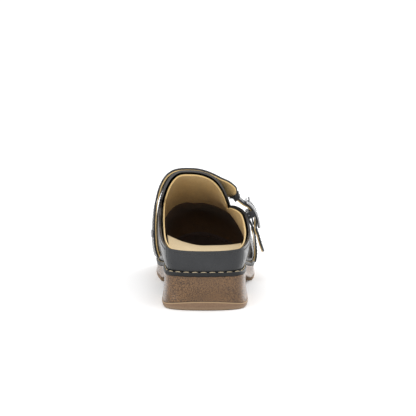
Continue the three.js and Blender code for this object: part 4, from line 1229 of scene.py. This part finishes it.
anchor = band("anchor_strap_leather", -anchor_thick / 2, anchor_thick / 2, anchor_wide, 0, 1, 150)
fold_up, fold_out, fold_long, fold_wide, fold_deep = 1.4, 3, 9.2, 4.6, 18
punch([anchor], [square_punch(on_frame(fold_up, fold_out), fold_long, fold_wide, fold_deep)])
anchor.data.materials.append(black_leather)
backing_near = -anchor_thick / 2 - clearance - strap_backing
anchor_back = band(
    "anchor_strap_backing", backing_near, backing_near + strap_backing, anchor_wide - 1, 0.01, 0.5, 70,
)
anchor_back.data.materials.append(tan_lining)
for piece, slot_name, cad_name in (
    (anchor, "black_leather", "anchor_strap"), (anchor_back, "lining_leather", "anchor_lining"),
):
    soften(piece, 0.28)
    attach(piece, "shoe")
    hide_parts(cad_name)

anchor_rows = []
for edge_side in (-1, 1):
    row = []
    for share in spread(0.1, 0.5, 60):
        here, _, out = band_frame(share)
        aside = Vector((0, edge_side * (anchor_wide / 2 - 2), 0))
        row.append((here + aside + out * (anchor_thick / 2 + 0.06), out))
    anchor_rows.append(row)
anchor_stitches = sewn("anchor_strap_stitches", anchor_rows, sew_pitch, sew_long, sew_thick)
anchor_stitches.data.materials.append(dark_thread)
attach(anchor_stitches, "shoe")


# ---- Buckle -------------------------------------------------------------------------------------
# A polished steel frame of two windows: round rails at its ends, bowed flat sides, and a blackened lug on each
# side that holds the bar. The prong turns on the bar, comes up through the strap and rests on the upper rail.
rail_bow, rail_wide, strap_side = 3, 2.6, 0.7
frame_half = strap_wide / 2 + strap_side + rail_wide / 2


def bow(up):
    return rail_out + rail_bow * (1 - (up / (rail_top if up > 0 else rail_tail)) ** 2)


corner = 3.2
turn_up, turn_down, turn_side = rail_top - corner, corner - rail_tail, frame_half - corner
turn_centres = ((turn_up, turn_side), (turn_up, -turn_side), (turn_down, -turn_side), (turn_down, turn_side))
arcs = []
for n, (up, y) in enumerate(turn_centres):
    turns = [math.radians(90 * n + a) for a in spread(0, 90, 7)]
    arcs.append([(up + corner * math.sin(a), y + corner * math.cos(a)) for a in turns])
frame_line = []
for n, arc in enumerate(arcs):
    (up0, y0), (up1, y1) = arcs[n - 1][-1], arc[0]
    straight = spread(0, 1, 10 if n % 2 else 26)[1:-1]
    frame_line += [(mix(up0, up1, t), mix(y0, y1, t)) for t in straight] + arc


def frame_ring(i):
    """The frame's section: round at the rails, and wide and flat along the sides."""
    (up0, y0), (up, y), (up1, y1) = frame_line[i - 1], frame_line[i], frame_line[(i + 1) % len(frame_line)]
    here = on_frame(up, bow(up), y)
    run = (on_frame(up1, bow(up1), y1) - on_frame(up0, bow(up0), y0)).normalized()
    out = (frame_out - run * run.dot(frame_out)).normalized()
    over = run.cross(out)
    near_rail = up > turn_up - 0.1 or up < turn_down + 0.1
    wide = mix(rail_wide / 2, rail_radius, smooth(0, corner, frame_half - abs(y)) if near_rail else 0)
    ring = []
    for k in range(20):
        a = 2 * math.pi * k / 20
        aside = over * (wide * squared(math.cos(a), 0.7))
        ring.append(here + aside + out * (rail_radius * squared(math.sin(a), 0.7)))
    return ring


buckle = loft("buckle_frame_steel", [frame_ring(i) for i in range(len(frame_line))], closed=True)
buckle.data.materials.append(polished_steel)
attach(buckle, "buckle")
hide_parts("buckle_frame")


def lug(name, y):
    """A rounded ear on the frame's side that takes the bar's end."""
    rows = []
    half, sharp, reach = rail_wide * 0.46, 0.55, 3
    for up in spread(-reach, reach, 14):
        low = -2.5 + 0.9 * (up / reach) ** 2
        high = bow(up) - 0.6
        rows.append([
            on_frame(up, low, y - half + sharp), on_frame(up, low + sharp, y - half),
            on_frame(up, high, y - half), on_frame(up, high, y + half),
            on_frame(up, low + sharp, y + half), on_frame(up, low, y + half - sharp),
        ])
    return loft(name, rows)


bar_play = 0.12
dark_steel = metal_finish("blackened_steel", (0.04, 0.04, 0.042, 1), 0.3, 0.45)
for name, y in (("buckle_lug_inner", -frame_half), ("buckle_lug_outer", frame_half)):
    ear = lug(name, y)
    bore = round_punch(bar + Vector((0, y, 0)), Vector((0, 1, 0)), bar_radius + bar_play, 6)
    punch([ear], [bore])
    ear.data.materials.append(dark_steel)
    soften(ear, 0.35, 3, 30)
    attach(ear, "buckle")

pin_half, pin_bevel = 11.9, 0.3
pin_profile = [
    (0.001, -pin_half), (bar_radius - 0.25, -pin_half), (bar_radius, pin_bevel - pin_half),
    (bar_radius, pin_half - pin_bevel), (bar_radius - 0.25, pin_half), (0.001, pin_half),
]
bar_pin = turned("buckle_bar_pin", pin_profile, bar, Vector((0, 1, 0)))
worn_steel = metal_finish("worn_steel", (0.26, 0.26, 0.265, 1), 0.25, 0.42)
bar_pin.data.materials.append(worn_steel)
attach(bar_pin, "buckle")
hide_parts("buckle_bar")

prong_radius, prong_thins, tip_at = 1.0, 0.22, 0.93
ring_out = bar_radius + clearance + 1.1
prong_rest = rail_out + rail_radius + clearance + prong_radius
root_up, root_in, prong_from, prong_past, prong_arch = 1.2, 0.9, 0.6, 2.6, 0.25
slope = (prong_rest - (ring_out - root_in)) / (rail_top - root_up)


def prong_place(t):
    """The prong's middle line, a little arched between the eye and the rail that it rests on."""
    up = mix(prong_from, rail_top + prong_past, t)
    return on_frame(up, ring_out - root_in + slope * (up - root_up) + prong_arch * math.sin(math.pi * t))


prong_rings = []
for i in range(41):
    t = i / 40
    tip = math.sqrt(max(0.02, 1 - (max(0.0, t - tip_at) / (1 - tip_at)) ** 2))
    fat = prong_radius * (1 - prong_thins * t) * tip
    run = (prong_place(min(40, i + 1) / 40) - prong_place(max(0, i - 1) / 40)).normalized()
    over = Vector((0, 1, 0))
    out = run.cross(over)
    turns = [2 * math.pi * k / 16 for k in range(16)]
    prong_rings.append([prong_place(t) + over * (fat * math.cos(a)) + out * (fat * math.sin(a)) for a in turns])
prong = loft("buckle_prong_steel", prong_rings)
eye_bore, eye_half, eye_round = bar_radius + bar_play, 1.0, 0.3
eye_profile = [
    (eye_bore, -eye_half), (ring_out - eye_round, -eye_half), (ring_out, eye_round - eye_half),
    (ring_out, eye_half - eye_round), (ring_out - eye_round, eye_half), (eye_bore, eye_half),
    (eye_bore, -eye_half),
]
prong_eye = turned("buckle_prong_eye", eye_profile, bar, Vector((0, 1, 0)))
for piece in (prong, prong_eye):
    piece.data.materials.append(polished_steel)
    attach(piece, "prong")
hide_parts("buckle_prong")


# ---- Inside stiffeners and washer ---------------------------------------------------------------
# Pressed board behind the counter and over the toes, and the rivet's washer: all three stay hidden.
board, tree, shader = finish("pressed_board")
place = node(tree, "TexCoord")
pulp = noise(tree, place.outputs["Object"], 500.0, Detail=5.0)
tone = blend(tree, pulp.outputs["Fac"], (0.06, 0.045, 0.03, 1), (0.13, 0.1, 0.07, 1))
tree.links.new(tone.outputs[0], shader.inputs["Base Color"])
shader.inputs["Roughness"].default_value = 0.85
for cad_name, material in (("heel_stiffener", board), ("toe_puff", board), ("medial_burr", worn_steel)):
    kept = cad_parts[cad_name]
    kept.data.materials.clear()
    kept.data.materials.append(material)
